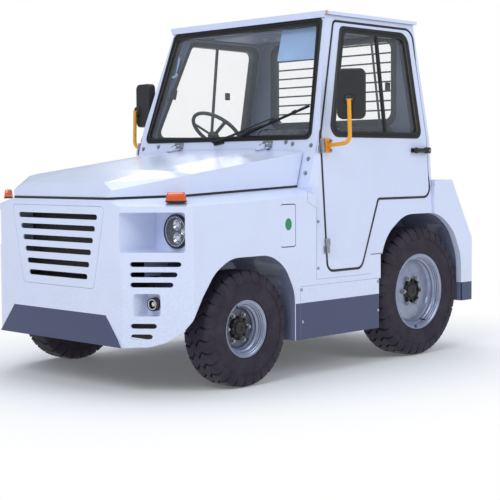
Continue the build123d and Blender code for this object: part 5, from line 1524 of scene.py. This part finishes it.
class LampMaker(Maker):
    """Head lamps, fog lamps, corner markers and tail lamps."""

    # The left side's lamps, and how far a tail lamp's lenses sit above and below its place
    HEAD, FOG = (0.645, -1.081, 0.794), (0.612, -1.186, 0.449)
    MARKER, TAIL, TAIL_RISE = (0.690, -1.127, 0.9395), (0.600, 1.211, 0.560), 0.045
    CORNER_BACK, CORNER_RUN = 0.217, 0.270
    # Degrees that the fog lamps turn outward, about a point this far forward in them
    FOG_TOE, FOG_PIVOT = 12.0, 0.030
    # A head lamp's projectors: place across and up from its middle, and radius
    EYES = ((0.012, 0.0325, 0.028), (0.012, -0.0325, 0.028), (0.056, 0.0, 0.017))
    # Sections of turned parts: distance along the axis and radius
    BOWL = ((0.0, 0.0), (0.0, 0.0835), (0.013, 0.0835), (0.017, 0.0805), (0.017, 0.0765), (0.0115, 0.0735),
            (0.009, 0.066), (0.005, 0.058), (0.004, 0.0))
    RING = ((0.0105, 0.0735), (0.0135, 0.0720), (0.0135, 0.0675), (0.0095, 0.0660))
    COVER = ((0.0160, 0.0768), (0.0180, 0.062), (0.0192, 0.034), (0.0196, 0.0), (0.0184, 0.0), (0.0180, 0.034),
             (0.0168, 0.062), (0.0148, 0.0768))
    FOG_BARREL = ((0.0, 0.0), (0.0, 0.0325), (0.030, 0.0325), (0.0335, 0.0305), (0.0335, 0.0280),
                  (0.0300, 0.0265), (0.014, 0.0205), (0.010, 0.0))
    FOG_RING = ((0.0300, 0.0265), (0.0340, 0.0255), (0.0340, 0.0215), (0.0290, 0.0205))
    FOG_LENS = ((0.0105, 0.0120), (0.0220, 0.0120), (0.0255, 0.0090), (0.0270, 0.0))
    TAIL_RING = ((0.0, 0.0), (0.0, 0.038), (0.011, 0.038), (0.014, 0.036), (0.014, 0.0345), (0.009, 0.0335),
                 (0.009, 0.0))
    TAIL_LENS = ((0.009, 0.0), (0.009, 0.0335), (0.016, 0.0325), (0.0195, 0.026), (0.0215, 0.014), (0.022, 0.0))
    # A marker's foot and lens: half width, half depth, corner radius and height of each loop
    MARKER_FOOT = ((0.050, 0.0220, 0.007, -0.003), (0.050, 0.0220, 0.007, 0.002),
                   (0.0485, 0.0205, 0.007, 0.0035))
    MARKER_LENS = ((0.0475, 0.0200, 0.006, 0.003), (0.0485, 0.0208, 0.006, 0.0050),
                   (0.0485, 0.0208, 0.006, 0.0130), (0.0460, 0.0190, 0.006, 0.0155),
                   (0.0440, 0.0180, 0.006, 0.0335), (0.0400, 0.0145, 0.005, 0.0430),
                   (0.0385, 0.0130, 0.005, 0.0445))
    MARKER_RIBS = (-0.030, -0.015, 0.0, 0.015, 0.030)

    @staticmethod
    def _facing(side: Side, place: Point, way: int = -1) -> Matrix:
        """A turn that takes +X to the front, or with way 1 to the rear, at a place on one side."""
        x, y, z = place
        return moved((side.value * x, y, z)) @ Matrix.Rotation(way * QUARTER, 4, "Z")

    def head_lamps(self) -> None:
        """Black bowls with bright rings, two projectors each and a clear cover."""
        bowls, bright, eyes, covers = (bmesh.new() for _ in range(4))
        for side in Side:
            seat = self._facing(side, self.HEAD)
            add_spun(bowls, self.BOWL, seat, 72)
            add_spun(bright, self.RING, seat, 72, True)
            for across, rise, radius in self.EYES:
                spot = seat @ moved((0.0, side.value * across, rise))
                add_spun(bright, [(0.0035, radius), (0.0125, radius), (0.0135, radius - 0.0015),
                                  (0.0120, radius - 0.0035), (0.0080, radius * 0.62),
                                  (0.0060, radius * 0.56)], spot, 40)
                back = radius * 0.60
                add_spun(bowls, [(0.0060, 0.0), (0.0060, back), (0.0070, back), (0.0070, 0.0)], spot, 32)
                add_spun(eyes, [(0.0068, radius * 0.50), (0.0100, radius * 0.46), (0.0128, radius * 0.30),
                                (0.0138, 0.0)], spot, 32)
            for turn in range(5):
                spoke = Matrix.Rotation(math.radians(130 + 25 * turn) * side.value, 4, "X")
                fin = seat @ spoke @ moved((0.0065, 0.052, 0.0))
                add_block(bowls, (0.006, 0.018, 0.0025), fin, 0.0006)
            add_spun(covers, self.COVER, seat, 72)
        self.shop.piece("head_lamp_bowls", bowls, "plastic", "body", "black_plastic", 34.0, ("front_lamps",))
        self.shop.piece("head_lamp_rings", bright, "reflector", "body", "rim_silver", 40.0)
        self.shop.piece("head_lamp_eyes", eyes, "lens", "body", "lamp_lens", 60.0)
        self.shop.piece("head_lamp_covers", covers, "glass", "body", "lamp_lens", 40.0)

    def fog_lamps(self) -> None:
        """Small lamps with a black and a bright ring."""
        rings, bright, eyes = (bmesh.new() for _ in range(3))
        for side in Side:
            pivot = moved((self.FOG_PIVOT, 0.0, 0.0))
            toed = pivot @ turned(side.value * self.FOG_TOE, "Z") @ pivot.inverted()
            seat = self._facing(side, self.FOG) @ toed
            add_spun(rings, self.FOG_BARREL, seat, 56)
            add_spun(bright, self.FOG_RING, seat, 56, True)
            add_spun(eyes, self.FOG_LENS, seat, 32)
        self.shop.piece("fog_lamp_bodies", rings, "plastic", "body", "black_plastic", 34.0, ("front_lamps",))
        self.shop.piece("fog_lamp_rings", bright, "reflector", "body", "rim_silver", 40.0)
        self.shop.piece("fog_lamp_eyes", eyes, "lens", "body", "lamp_lens", 60.0)

    def markers(self) -> None:
        """Faceted amber lamps on the fenders' corners, on rubber feet."""
        amber, feet, screws = (bmesh.new() for _ in range(3))
        turn = math.atan2(self.CORNER_BACK, self.CORNER_RUN)
        for side in Side:
            x, y, z = self.MARKER
            seat = moved((side.value * x, y, z)) @ Matrix.Rotation(side.value * turn, 4, "Z")
            add_loft(feet, self.MARKER_FOOT, seat)
            add_loft(amber, self.MARKER_LENS, seat)
            for across in self.MARKER_RIBS:
                add_block(amber, (0.0030, 0.0372, 0.016), seat @ moved((across, 0.0, 0.0240)), 0.0008)
            for across in (-0.037, 0.037):
                add_dome(screws, seat @ Vector((across, 0.0, 0.0440)), (0, 0, 1), 0.0034, 0.0022)
        self.shop.piece("marker_lamps", amber, "amber", "body", "amber_lens", 20.0, ("signal_lamps",))
        self.shop.piece("marker_feet", feet, "seal", "body", "seal_rubber", 34.0)
        self.shop.piece("marker_screws", screws, "steel", "body", "hitch_steel")

    def tail_lamps(self) -> None:
        """Round lamps at the tail: amber over red, each in a black ring."""
        rings = bmesh.new()
        lenses = {"amber": bmesh.new(), "red": bmesh.new()}
        x, y, z = self.TAIL
        for side in Side:
            for rise, lens in zip((self.TAIL_RISE, -self.TAIL_RISE), lenses.values()):
                seat = self._facing(side, (x, y, z + rise), 1)
                add_spun(rings, self.TAIL_RING, seat)
                add_spun(lens, self.TAIL_LENS, seat)
        self.shop.piece("tail_lamp_rings", rings, "plastic", "body", "black_plastic", 34.0)
        for colour, lens in lenses.items():
            self.shop.piece(f"tail_lamps_{colour}", lens, colour, "body", "amber_lens", 50.0,
                            ("signal_lamps",))

    def make(self) -> None:
        """Makes all the lamps."""
        self.head_lamps()
        self.fog_lamps()
        self.markers()
        self.tail_lamps()


class CockpitMaker(Maker):
    """Steering wheel, gauges, grab handle, latch, the roof's small amber lamps and the hood's hinges."""

    WHEEL_HUB = (-0.337, 0.110, 1.286)
    WHEEL_TILT = 41.0
    WHEEL_RADIUS = 0.160
    WHEEL_DISH = 0.040
    GRIP = 0.0112
    # Sections of turned parts: distance along the axis and radius
    BOSS = ((-0.0335, 0.0), (-0.0335, 0.012), (-0.015, 0.013), (-0.015, 0.032), (-0.011, 0.034), (0.009, 0.034),
            (0.014, 0.031), (0.017, 0.024), (0.0175, 0.0))
    BUTTON = ((0.0170, 0.0), (0.0170, 0.0175), (0.0195, 0.0160), (0.0205, 0.0))
    GAUGE_RIM = ((-0.002, 0.041), (0.008, 0.041), (0.010, 0.039), (0.008, 0.0355), (-0.002, 0.0355))
    GAUGE_FACE = ((-0.002, 0.0), (-0.002, 0.036), (0.002, 0.036), (0.002, 0.0))
    # Gauges' places across, and the grab handle's two feet
    GAUGES = (-0.425, -0.250)
    HANDLE_FEET = ((-0.606, 0.046, 1.768), (-0.606, 0.014, 1.648))
    # The hood hinges' axis, their place to each side, and the slope of the hood there
    HINGE_Y, HINGE_Z, HINGE_X, HOOD_SLOPE = -0.1702, 1.216, 0.360, 0.133

    def steering_wheel(self) -> None:
        """A moulded grip with finger marks, three flat spokes and a capped hub."""
        seat = moved(self.WHEEL_HUB) @ Matrix.Rotation(-math.radians(self.WHEEL_TILT), 4, "X")
        upright = seat @ Matrix.Rotation(-QUARTER, 4, "Y")
        mesh = bmesh.new()
        grip = [(self.WHEEL_DISH + self.GRIP * math.sin(angle), self.WHEEL_RADIUS + self.GRIP * math.cos(angle))
                for angle in (turn * math.pi / 7 for turn in range(14))]
        add_spun(mesh, grip, upright, 72, True)
        add_spun(mesh, self.BOSS, upright)
        inner = Vector((0.020, 0.0, 0.004))
        outer = Vector((self.WHEEL_RADIUS - 0.004, 0.0, self.WHEEL_DISH - 0.004))
        along = outer - inner
        spoke = moved((inner + outer) / 2) @ basis(along.cross(Vector((0, 1, 0))), along)
        for turn in (90, 210, 330):
            add_block(mesh, (along.length, 0.021, 0.0085), seat @ turned(turn, "Z") @ spoke, 0.003)
        mark = moved((self.WHEEL_RADIUS, 0.0, self.WHEEL_DISH - 0.0080))
        for turn in range(5, 360, 10):
            add_block(mesh, (0.010, 0.011, 0.008), seat @ turned(turn, "Z") @ mark, 0.002, 1)
        self.shop.piece("steering_wheel_grip", mesh, "plastic", "steering_wheel", "interior_plastic", 34.0,
                        ("steering_wheel",))
        button = bmesh.new()
        add_spun(button, self.BUTTON, upright, 40)
        self.shop.piece("horn_button", button, "steel", "steering_wheel", "interior_plastic", 40.0)

    def dashboard(self) -> None:
        """Two round gauges with hands, a row of rocker switches and a vent, on the dash's rear face."""
        rims, dials, hands, dark = (bmesh.new() for _ in range(4))
        for x in self.GAUGES:
            seat = moved((x, 0.0905, 1.172)) @ turned(90, "Z")
            add_spun(rims, self.GAUGE_RIM, seat, closed=True)
            add_spun(dark, self.GAUGE_FACE, seat, 40)
            for step in range(9):
                mark = seat @ turned(-120 + 30 * step, "X") @ moved((0.0022, 0.0, 0.030))
                add_block(dials, (0.0006, 0.0016 if step % 2 else 0.0024, 0.007), mark)
            hand = seat @ turned(-70, "X") @ moved((0.0032, 0.0, 0.012))
            add_block(hands, (0.0010, 0.0020, 0.030), hand)
        for index in range(5):
            spot = moved((0.02 + 0.040 * index, 0.0925, 1.178)) @ turned(8 if index % 2 else -8, "X")
            add_block(dark, (0.024, 0.012, 0.042), spot, 0.003)
        add_block(rims, (0.216, 0.006, 0.058), moved((0.10, 0.0895, 1.178)), 0.003)
        for index in range(6):
            slat = moved((0.400, 0.0925, 1.150 + 0.011 * index)) @ Matrix.Rotation(0.5, 4, "X")
            add_block(dark, (0.150, 0.0018, 0.010), slat)
        add_block(rims, (0.170, 0.005, 0.082), moved((0.400, 0.0895, 1.1775)), 0.003)
        self.shop.piece("dash_frames", rims, "plastic", "body", "interior_plastic")
        self.shop.piece("dash_switches", dark, "dark", "body", "interior_plastic")
        self.shop.piece("gauge_marks", dials, "paper", "body", "interior_plastic")
        self.shop.piece("gauge_hands", hands, "red", "body", "interior_plastic")

    def fittings(self) -> None:
        """The grab handle on the far pillar, the far door's latch and the roof's amber lamps."""
        feet = [Vector(foot) for foot in self.HANDLE_FEET]
        lift = Vector((0.030, 0.014, 0.0))
        route = [feet[0], feet[0] + lift * 0.7, feet[0] + lift + Vector((0, -0.003, -0.010)),
                 feet[1] + lift + Vector((0, 0.003, 0.010)), feet[1] + lift * 0.7, feet[1]]
        handle = sweep("grab_handle", route, 0.0085)
        self.shop.place(handle, "visor", "body", "interior_plastic", 50.0)
        pads = bmesh.new()
        for foot in feet:
            add_block(pads, (0.008, 0.026, 0.030), moved(foot), 0.003)
        grip = [feet[0] + lift * 1.25 + Vector((0, 0, -0.022)), feet[1] + lift * 1.25 + Vector((0, 0, 0.022))]
        add_rod(pads, grip[0], grip[1], 0.0065, 12)
        self.shop.piece("grab_handle_grip", pads, "plastic", "body", "interior_plastic")
        latch = bmesh.new()
        lean = turned(-14, "X")
        add_block(latch, (0.016, 0.040, 0.066), moved((-0.628, 0.056, 1.548)) @ lean, 0.007, 3)
        add_rod(latch, (-0.628, 0.046, 1.518), (-0.640, 0.022, 1.512), 0.0035, 10)
        add_rod(latch, (-0.640, 0.022, 1.512), (-0.642, 0.014, 1.520), 0.0035, 10)
        self.shop.piece("door_latch_right", latch, "plastic", "door_right", "interior_plastic")
        dots, feet_mesh = bmesh.new(), bmesh.new()
        for side in Side:
            spot = Vector((side.value * 0.6222, 0.044, 1.9345))
            out = Vector((side.value, 0, 0))
            add_rod(feet_mesh, spot - out * 0.003, spot + out * 0.002, 0.0095, 20)
            add_dome(dots, spot + out * 0.001, out, 0.0085, 0.0075)
        self.shop.piece("roof_lamp_feet", feet_mesh, "plastic", "body", "black_plastic")
        self.shop.piece("roof_lamps", dots, "yellow", "body", "amber_lens", 50.0)

    def hood_hinges(self) -> None:
        """Plated barrels on the hood and ears on the cab, with their leaves and bolts."""
        moving, fixed = bmesh.new(), bmesh.new()
        y, z = self.HINGE_Y, self.HINGE_Z
        slope = Matrix.Rotation(math.atan(self.HOOD_SLOPE), 4, "X")
        upright = basis(Vector(FRONT_WAY).normalized(), Vector((1.0, 0.0, 0.0)))
        for x in (self.HINGE_X, -self.HINGE_X):
            add_rod(moving, (x - 0.0131, y, z), (x + 0.0131, y, z), 0.0136, 28)
            add_block(moving, (0.032, 0.052, 0.0035), moved((x, y - 0.040, 1.1935)) @ slope, 0.001)
            for back in (0.026, 0.052):
                add_bolt(moving, (x, y - back, 1.1945 - self.HOOD_SLOPE * (back - 0.026)),
                         (0, -self.HOOD_SLOPE, 1), 0.010, 0.005)
            for way in (-1, 1):
                add_rod(fixed, (x + way * 0.0157, y, z), (x + way * 0.0303, y, z), 0.0136, 28)
                add_rod(fixed, (x + way * 0.0300, y, z), (x + way * 0.0335, y, z), 0.0070, 20, 0.0055)
            add_block(fixed, (0.074, 0.040, 0.0040), moved(on_front(x, 1.222, 0.0028)) @ upright, 0.001)
            for across in (-0.0255, 0.0255):
                add_bolt(fixed, on_front(x + across * 1.12, 1.232, 0.004), FRONT_WAY, 0.010, 0.005)
        self.shop.piece("hood_hinge_barrels", moving, "steel", "hood", "hitch_steel")
        self.shop.piece("hood_hinge_ears", fixed, "steel", "body", "hitch_steel")

    def make(self) -> None:
        """Makes all of it."""
        self.steering_wheel()
        self.dashboard()
        self.fittings()
        self.hood_hinges()


class SeatMaker(SideMaker):
    """Padded seats: a cushion and a backrest each, with sewn channels and piping."""

    SEAT_X, HALF = 0.340, 0.206
    CHANNEL_WIDTH, CHANNEL_DEPTH = 0.007, 0.007
    CORNER, VOXEL, SWELL, CROWN = 0.050, 0.009, 0.012, 0.010
    FRAMES = 20

    @staticmethod
    def _inflate(made: bpy.types.Object, cap: float) -> None:
        """Blows an evenly meshed closed form up like a pad, with Blender's cloth, and keeps the result.

        Args:
            made: The object; its mesh is replaced.
            cap: How far a point may move.
        """
        scene = bpy.context.scene
        before = [vert.co.copy() for vert in made.data.vertices]
        cloth = made.modifiers.new("padding", "CLOTH")
        settings = cloth.settings
        settings.use_pressure, settings.uniform_pressure_force = True, 4.0
        settings.effector_weights.gravity = 0.0
        settings.quality = 5
        settings.tension_stiffness = settings.compression_stiffness = 15.0
        settings.bending_stiffness = 0.5
        cloth.point_cache.frame_start, cloth.point_cache.frame_end = 1, SeatMaker.FRAMES
        for step in range(1, SeatMaker.FRAMES + 1):
            scene.frame_set(step)
        padded = made.evaluated_get(bpy.context.evaluated_depsgraph_get()).data
        moved = [vert.co.copy() for vert in padded.vertices]
        made.modifiers.clear()
        for vert, old, new in zip(made.data.vertices, before, moved):
            shift = new - old
            vert.co = old + shift * min(1.0, cap / max(shift.length, 1e-9))
        scene.frame_set(1)

    def _pad(self, name: str, size: Point, place: Matrix, channels: Sequence[tuple[int, float]], edge: float,
             finish: str) -> None:
        """Makes one pad and its piping.

        Args:
            name: The piece's name.
            size: The pad's size, thickness last.
            place: Takes it to its place, with its front face up.
            channels: Axis (0 or 1) and place of each sewn channel.
            edge: Height of the piping above the pad's middle.
            finish: The cloth's short name.
        """
        mesh = bmesh.new()
        wide, deep, thick = size
        loops = [(wide / 2 - inset, deep / 2 - inset, corner, height) for inset, corner, height in (
            (0.030, 0.035, -thick / 2), (0.008, 0.045, -thick / 2 + 0.016), (0.0, self.CORNER, -thick / 6),
            (0.0, self.CORNER, thick / 6), (0.010, 0.045, thick / 2 - 0.014), (0.040, 0.035, thick / 2))]
        add_loft(mesh, loops, Matrix.Identity(4))
        bmesh.ops.recalc_face_normals(mesh, faces=mesh.faces)
        data = bpy.data.meshes.new(name)
        mesh.to_mesh(data)
        mesh.free()
        made = bpy.data.objects.new(name, data)
        bpy.context.scene.collection.objects.link(made)
        remesh = made.modifiers.new("even", "REMESH")
        remesh.mode, remesh.voxel_size = "VOXEL", self.VOXEL
        even = bpy.data.meshes.new_from_object(made.evaluated_get(bpy.context.evaluated_depsgraph_get()))
        made.modifiers.clear()
        made.data = even
        self._inflate(made, self.SWELL)
        bpy.context.scene.collection.objects.unlink(made)
        reach = [max(abs(vert.co[axis]) for vert in made.data.vertices) for axis in (0, 1)]
        made.data.transform(Matrix.Diagonal((wide / 2 / reach[0], deep / 2 / reach[1], 1.0, 1.0)))
        for vert in made.data.vertices:
            rise = max(0.0, min(1.0, vert.co.z / (thick * 0.3)))
            crown = (1 - (2 * vert.co.x / wide) ** 2) * (1 - (2 * vert.co.y / deep) ** 2)
            vert.co.z += rise * self.CROWN * max(0.0, crown)
            for axis, at in channels:
                away = (vert.co[axis] - at) / self.CHANNEL_WIDTH
                vert.co.z -= rise * self.CHANNEL_DEPTH * math.exp(-away * away)
        made.data.transform(place)
        made.modifiers.new("smooth", "SUBSURF").levels = 1
        made.modifiers["smooth"].render_levels = 1
        self.shop.place(made, finish, "body", "seat_cloth", 60.0, ("seat_cushions",))
        outline = box_outline(wide / 2, deep / 2, self.CORNER, 8)
        piping = sweep(f"{name}_piping", [place @ Vector((a, b, edge)) for a, b in outline], 0.0042, True, 10)
        self.shop.place(piping, "seal", "body", "seat_cloth", 60.0)

    def make(self) -> None:
        """Makes one seat."""
        x = self.side.value * self.SEAT_X
        finish = "driver" if self.side is Side.RIGHT else "passenger"
        cushion = moved((x, 0.519, 0.936))
        self._pad(f"seat_cushion_{self.side.label}", (2 * self.HALF, 0.392, 0.100), cushion,
                  ((0, -0.125), (0, 0.125), (1, -0.105), (1, 0.105)), 0.026, finish)
        lean = math.atan2(0.050, 0.345)
        back = moved((x, 0.7065, 1.1690)) @ Matrix.Rotation(-lean, 4, "X") @ Matrix.Rotation(
            QUARTER, 4, "X")
        self._pad(f"seat_back_{self.side.label}", (2 * self.HALF, 0.336, 0.072), back,
                  ((0, -0.125), (0, 0.125), (1, 0.060)), 0.016, finish)


@dataclass
class Studio:
    """Floor, light and the camera at the photograph's viewing angle."""

    eye: Point = (5.062, -5.078, 1.107)
    azimuth: float = 44.5
    elevation: float = 3.9
    roll: float = -0.4
    lens: float = 89.07
    sensor: float = 36.0
    floor_half: float = 14.0
    fade_at: float = 1.55
    fade_width: float = 1.3
    near_white: float = 0.10
    floor_colour: Colour = (0.95, 0.95, 0.97)
    sky_colour: Colour = (0.86, 0.92, 1.0)
    sky_strength: float = 0.44
    lamp_colour: Colour = (0.94, 0.97, 1.0)
    lamps: ClassVar[Sequence[tuple[str, Point, Point, float, float]]] = (
        ("key_lamp", (2.5, -6.5, 5.5), (0.0, -0.6, 0.8), 4.0, 215.0),
        ("side_lamp", (6.5, 1.5, 4.0), (0.6, 0.2, 0.9), 4.0, 128.0),
        ("top_lamp", (-1.0, 0.5, 6.5), (0.0, 0.0, 1.0), 5.0, 140.0),
        ("back_lamp", (-5.0, 5.0, 4.5), (0.0, 0.5, 1.0), 4.0, 90.0),
    )

    @staticmethod
    def _mixed(tree: bpy.types.NodeTree, share: bpy.types.NodeSocket, first: bpy.types.NodeSocket,
               second: bpy.types.NodeSocket, output: str) -> None:
        """Puts a mix of two shaders on a tree's output.

        Args:
            tree: The material's or the world's node tree.
            share: Share of the second.
            first: The shader at share 0.
            second: The shader at share 1.
            output: The output node's name.
        """
        mixer = tree.nodes.new("ShaderNodeMixShader")
        for index, socket in enumerate((share, first, second)):
            tree.links.new(socket, mixer.inputs[index])
        tree.links.new(mixer.outputs[0], tree.nodes[output].inputs["Surface"])

    def camera(self) -> bpy.types.Object:
        """Makes the camera and sets it as the scene's."""
        turn, lift, roll = (math.radians(angle) for angle in (self.azimuth, self.elevation, self.roll))
        back = Vector((math.sin(turn) * math.cos(lift), -math.cos(turn) * math.cos(lift), math.sin(lift)))
        level = Vector((math.cos(turn), math.sin(turn), 0.0))
        upright = back.cross(level)
        right = level * math.cos(roll) + upright * math.sin(roll)
        up = upright * math.cos(roll) - level * math.sin(roll)
        data = bpy.data.cameras.new("camera")
        data.lens, data.sensor_width, data.clip_start, data.clip_end = self.lens, self.sensor, 0.1, 100.0
        camera = bpy.data.objects.new("camera", data)
        camera.matrix_world = moved(self.eye) @ Matrix((right, up, back)).transposed().to_4x4()
        bpy.context.scene.collection.objects.link(camera)
        bpy.context.scene.camera = camera
        return camera

    def _fade_to_white(self, recipe: Recipe) -> None:
        """Lets the floor turn plain white away from the vehicle, in reflections and through glass."""
        tree = recipe.tree
        across, along = recipe.axis("X"), recipe.axis("Y")
        distance = (across * across + along * along * 0.6) ** 0.5
        share = distance.above(self.fade_at, self.fade_width) * (1.0 - self.near_white) + self.near_white
        path = tree.nodes.new("ShaderNodeLightPath")
        glossy, through = (Value(recipe, path.outputs[f"Is {kind} Ray"])
                           for kind in ("Glossy", "Transmission"))
        seen = glossy + through
        share = recipe.node("ShaderNodeMath", {"operation": "MAXIMUM"}, {0: share, 1: seen})
        glow = tree.nodes.new("ShaderNodeEmission")
        glow.inputs["Color"].default_value = (1.0, 1.0, 1.0, 1.0)
        self._mixed(tree, share.socket, recipe.shader.outputs[0], glow.outputs[0], "Material Output")

    def floor(self) -> None:
        """A large pale floor that keeps the vehicle's soft shadow."""
        mesh = bmesh.new()
        bmesh.ops.create_grid(mesh, x_segments=1, y_segments=1, size=self.floor_half)
        data = bpy.data.meshes.new("studio_floor")
        mesh.to_mesh(data)
        mesh.free()
        floor = bpy.data.objects.new("studio_floor", data)
        bpy.context.scene.collection.objects.link(floor)
        recipe = Recipe("floor_white")
        recipe.set(Base_Color=self.floor_colour, Roughness=0.7, Specular_IOR_Level=0.2)
        self._fade_to_white(recipe)
        data.materials.append(recipe.material)

    def light(self) -> None:
        """Large soft lamps and a pale world."""
        world = bpy.data.worlds.new("studio")
        bpy.context.scene.world = world
        world.use_nodes = True
        tree = world.node_tree
        ground = tree.nodes["Background"]
        ground.inputs["Color"].default_value = (*self.sky_colour, 1.0)
        ground.inputs["Strength"].default_value = self.sky_strength
        white = tree.nodes.new("ShaderNodeBackground")
        white.inputs["Color"].default_value = (1.0, 1.0, 1.0, 1.0)
        path = tree.nodes.new("ShaderNodeLightPath")
        seen = tree.nodes.new("ShaderNodeMath")
        seen.operation = "MAXIMUM"
        tree.links.new(path.outputs["Is Camera Ray"], seen.inputs[0])
        tree.links.new(path.outputs["Is Transmission Ray"], seen.inputs[1])
        self._mixed(tree, seen.outputs[0], ground.outputs[0], white.outputs[0], "World Output")
        for name, place, aim, size, power in self.lamps:
            lamp = bpy.data.lights.new(name, "AREA")
            lamp.shape, lamp.size, lamp.energy, lamp.color = "DISK", size, power, self.lamp_colour
            made = bpy.data.objects.new(name, lamp)
            way = Vector(place) - Vector(aim)
            made.matrix_world = moved(place) @ way.to_track_quat("Z", "Y").to_matrix().to_4x4()
            bpy.context.scene.collection.objects.link(made)

    def build(self) -> None:
        """Sets the whole studio up."""
        bpy.context.scene.view_settings.view_transform = "Standard"
        self.camera()
        self.floor()
        self.light()


NODE_FINISH = {
    "body": "cab_front cab_rear cab_sides door_left door_right fenders front_fascia grille_panel hood "
            "lower_body rear_body roof service_flap sill_covers",
    "dash": "cab_floor",
    "driver": "seat_cushions",
    "frame": "chassis_crossmembers chassis_rails front_axle_beam rear_axle rear_guard suspension tie_rod "
             "tow_hitch",
    "glass": "cab_glass door_glass_left door_glass_right",
    "interior": "cab_interior",
    "iron": "ballast knuckle_left knuckle_right power_unit",
    "lens": "front_lamps",
    "amber": "signal_lamps",
    "pin": "tow_pin",
    "plastic": "door_fittings_left door_fittings_right steering_wheel",
    "seal": "hood_seal",
    "slate": "skid_plate slate_skirts",
    # The wheel boxes' well grey is partly painted shade
    "well": "wheel_boxes",
}
# Where the lined faces of the cab's nodes look
LINED = {
    "cab_front": (0, 1, 0), "cab_rear": (0, -1, 0), "roof": (0, 0, -1), "door_left": (-1, 0, 0),
    "door_right": (1, 0, 0),
}


def main() -> None:
    """Builds the tug's looks around the frame."""
    logging.basicConfig(level=logging.INFO, format="%(message)s")
    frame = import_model()
    shop = Workshop(frame, Finishes())
    for finish, nodes in NODE_FINISH.items():
        for node in nodes.split():
            shop.dress(node, finish)
    for size in WHEEL_SIZES:
        for side in Side:
            WheelMaker(shop, size, side).make()
    CabMaker(shop).make()
    for side in Side:
        DoorFittings(shop, side).make()
    for node, way in LINED.items():
        shop.line(node, way)
    for side in Side:
        shop.line("cab_sides", (-side.value, 0, 0))
    for node in ("fenders", "front_fascia"):
        shop.well(node)
    LampMaker(shop).make()
    CockpitMaker(shop).make()
    for side in Side:
        SeatMaker(shop, side).make()
    Studio().build()


if __name__ == "__main__":
    main()
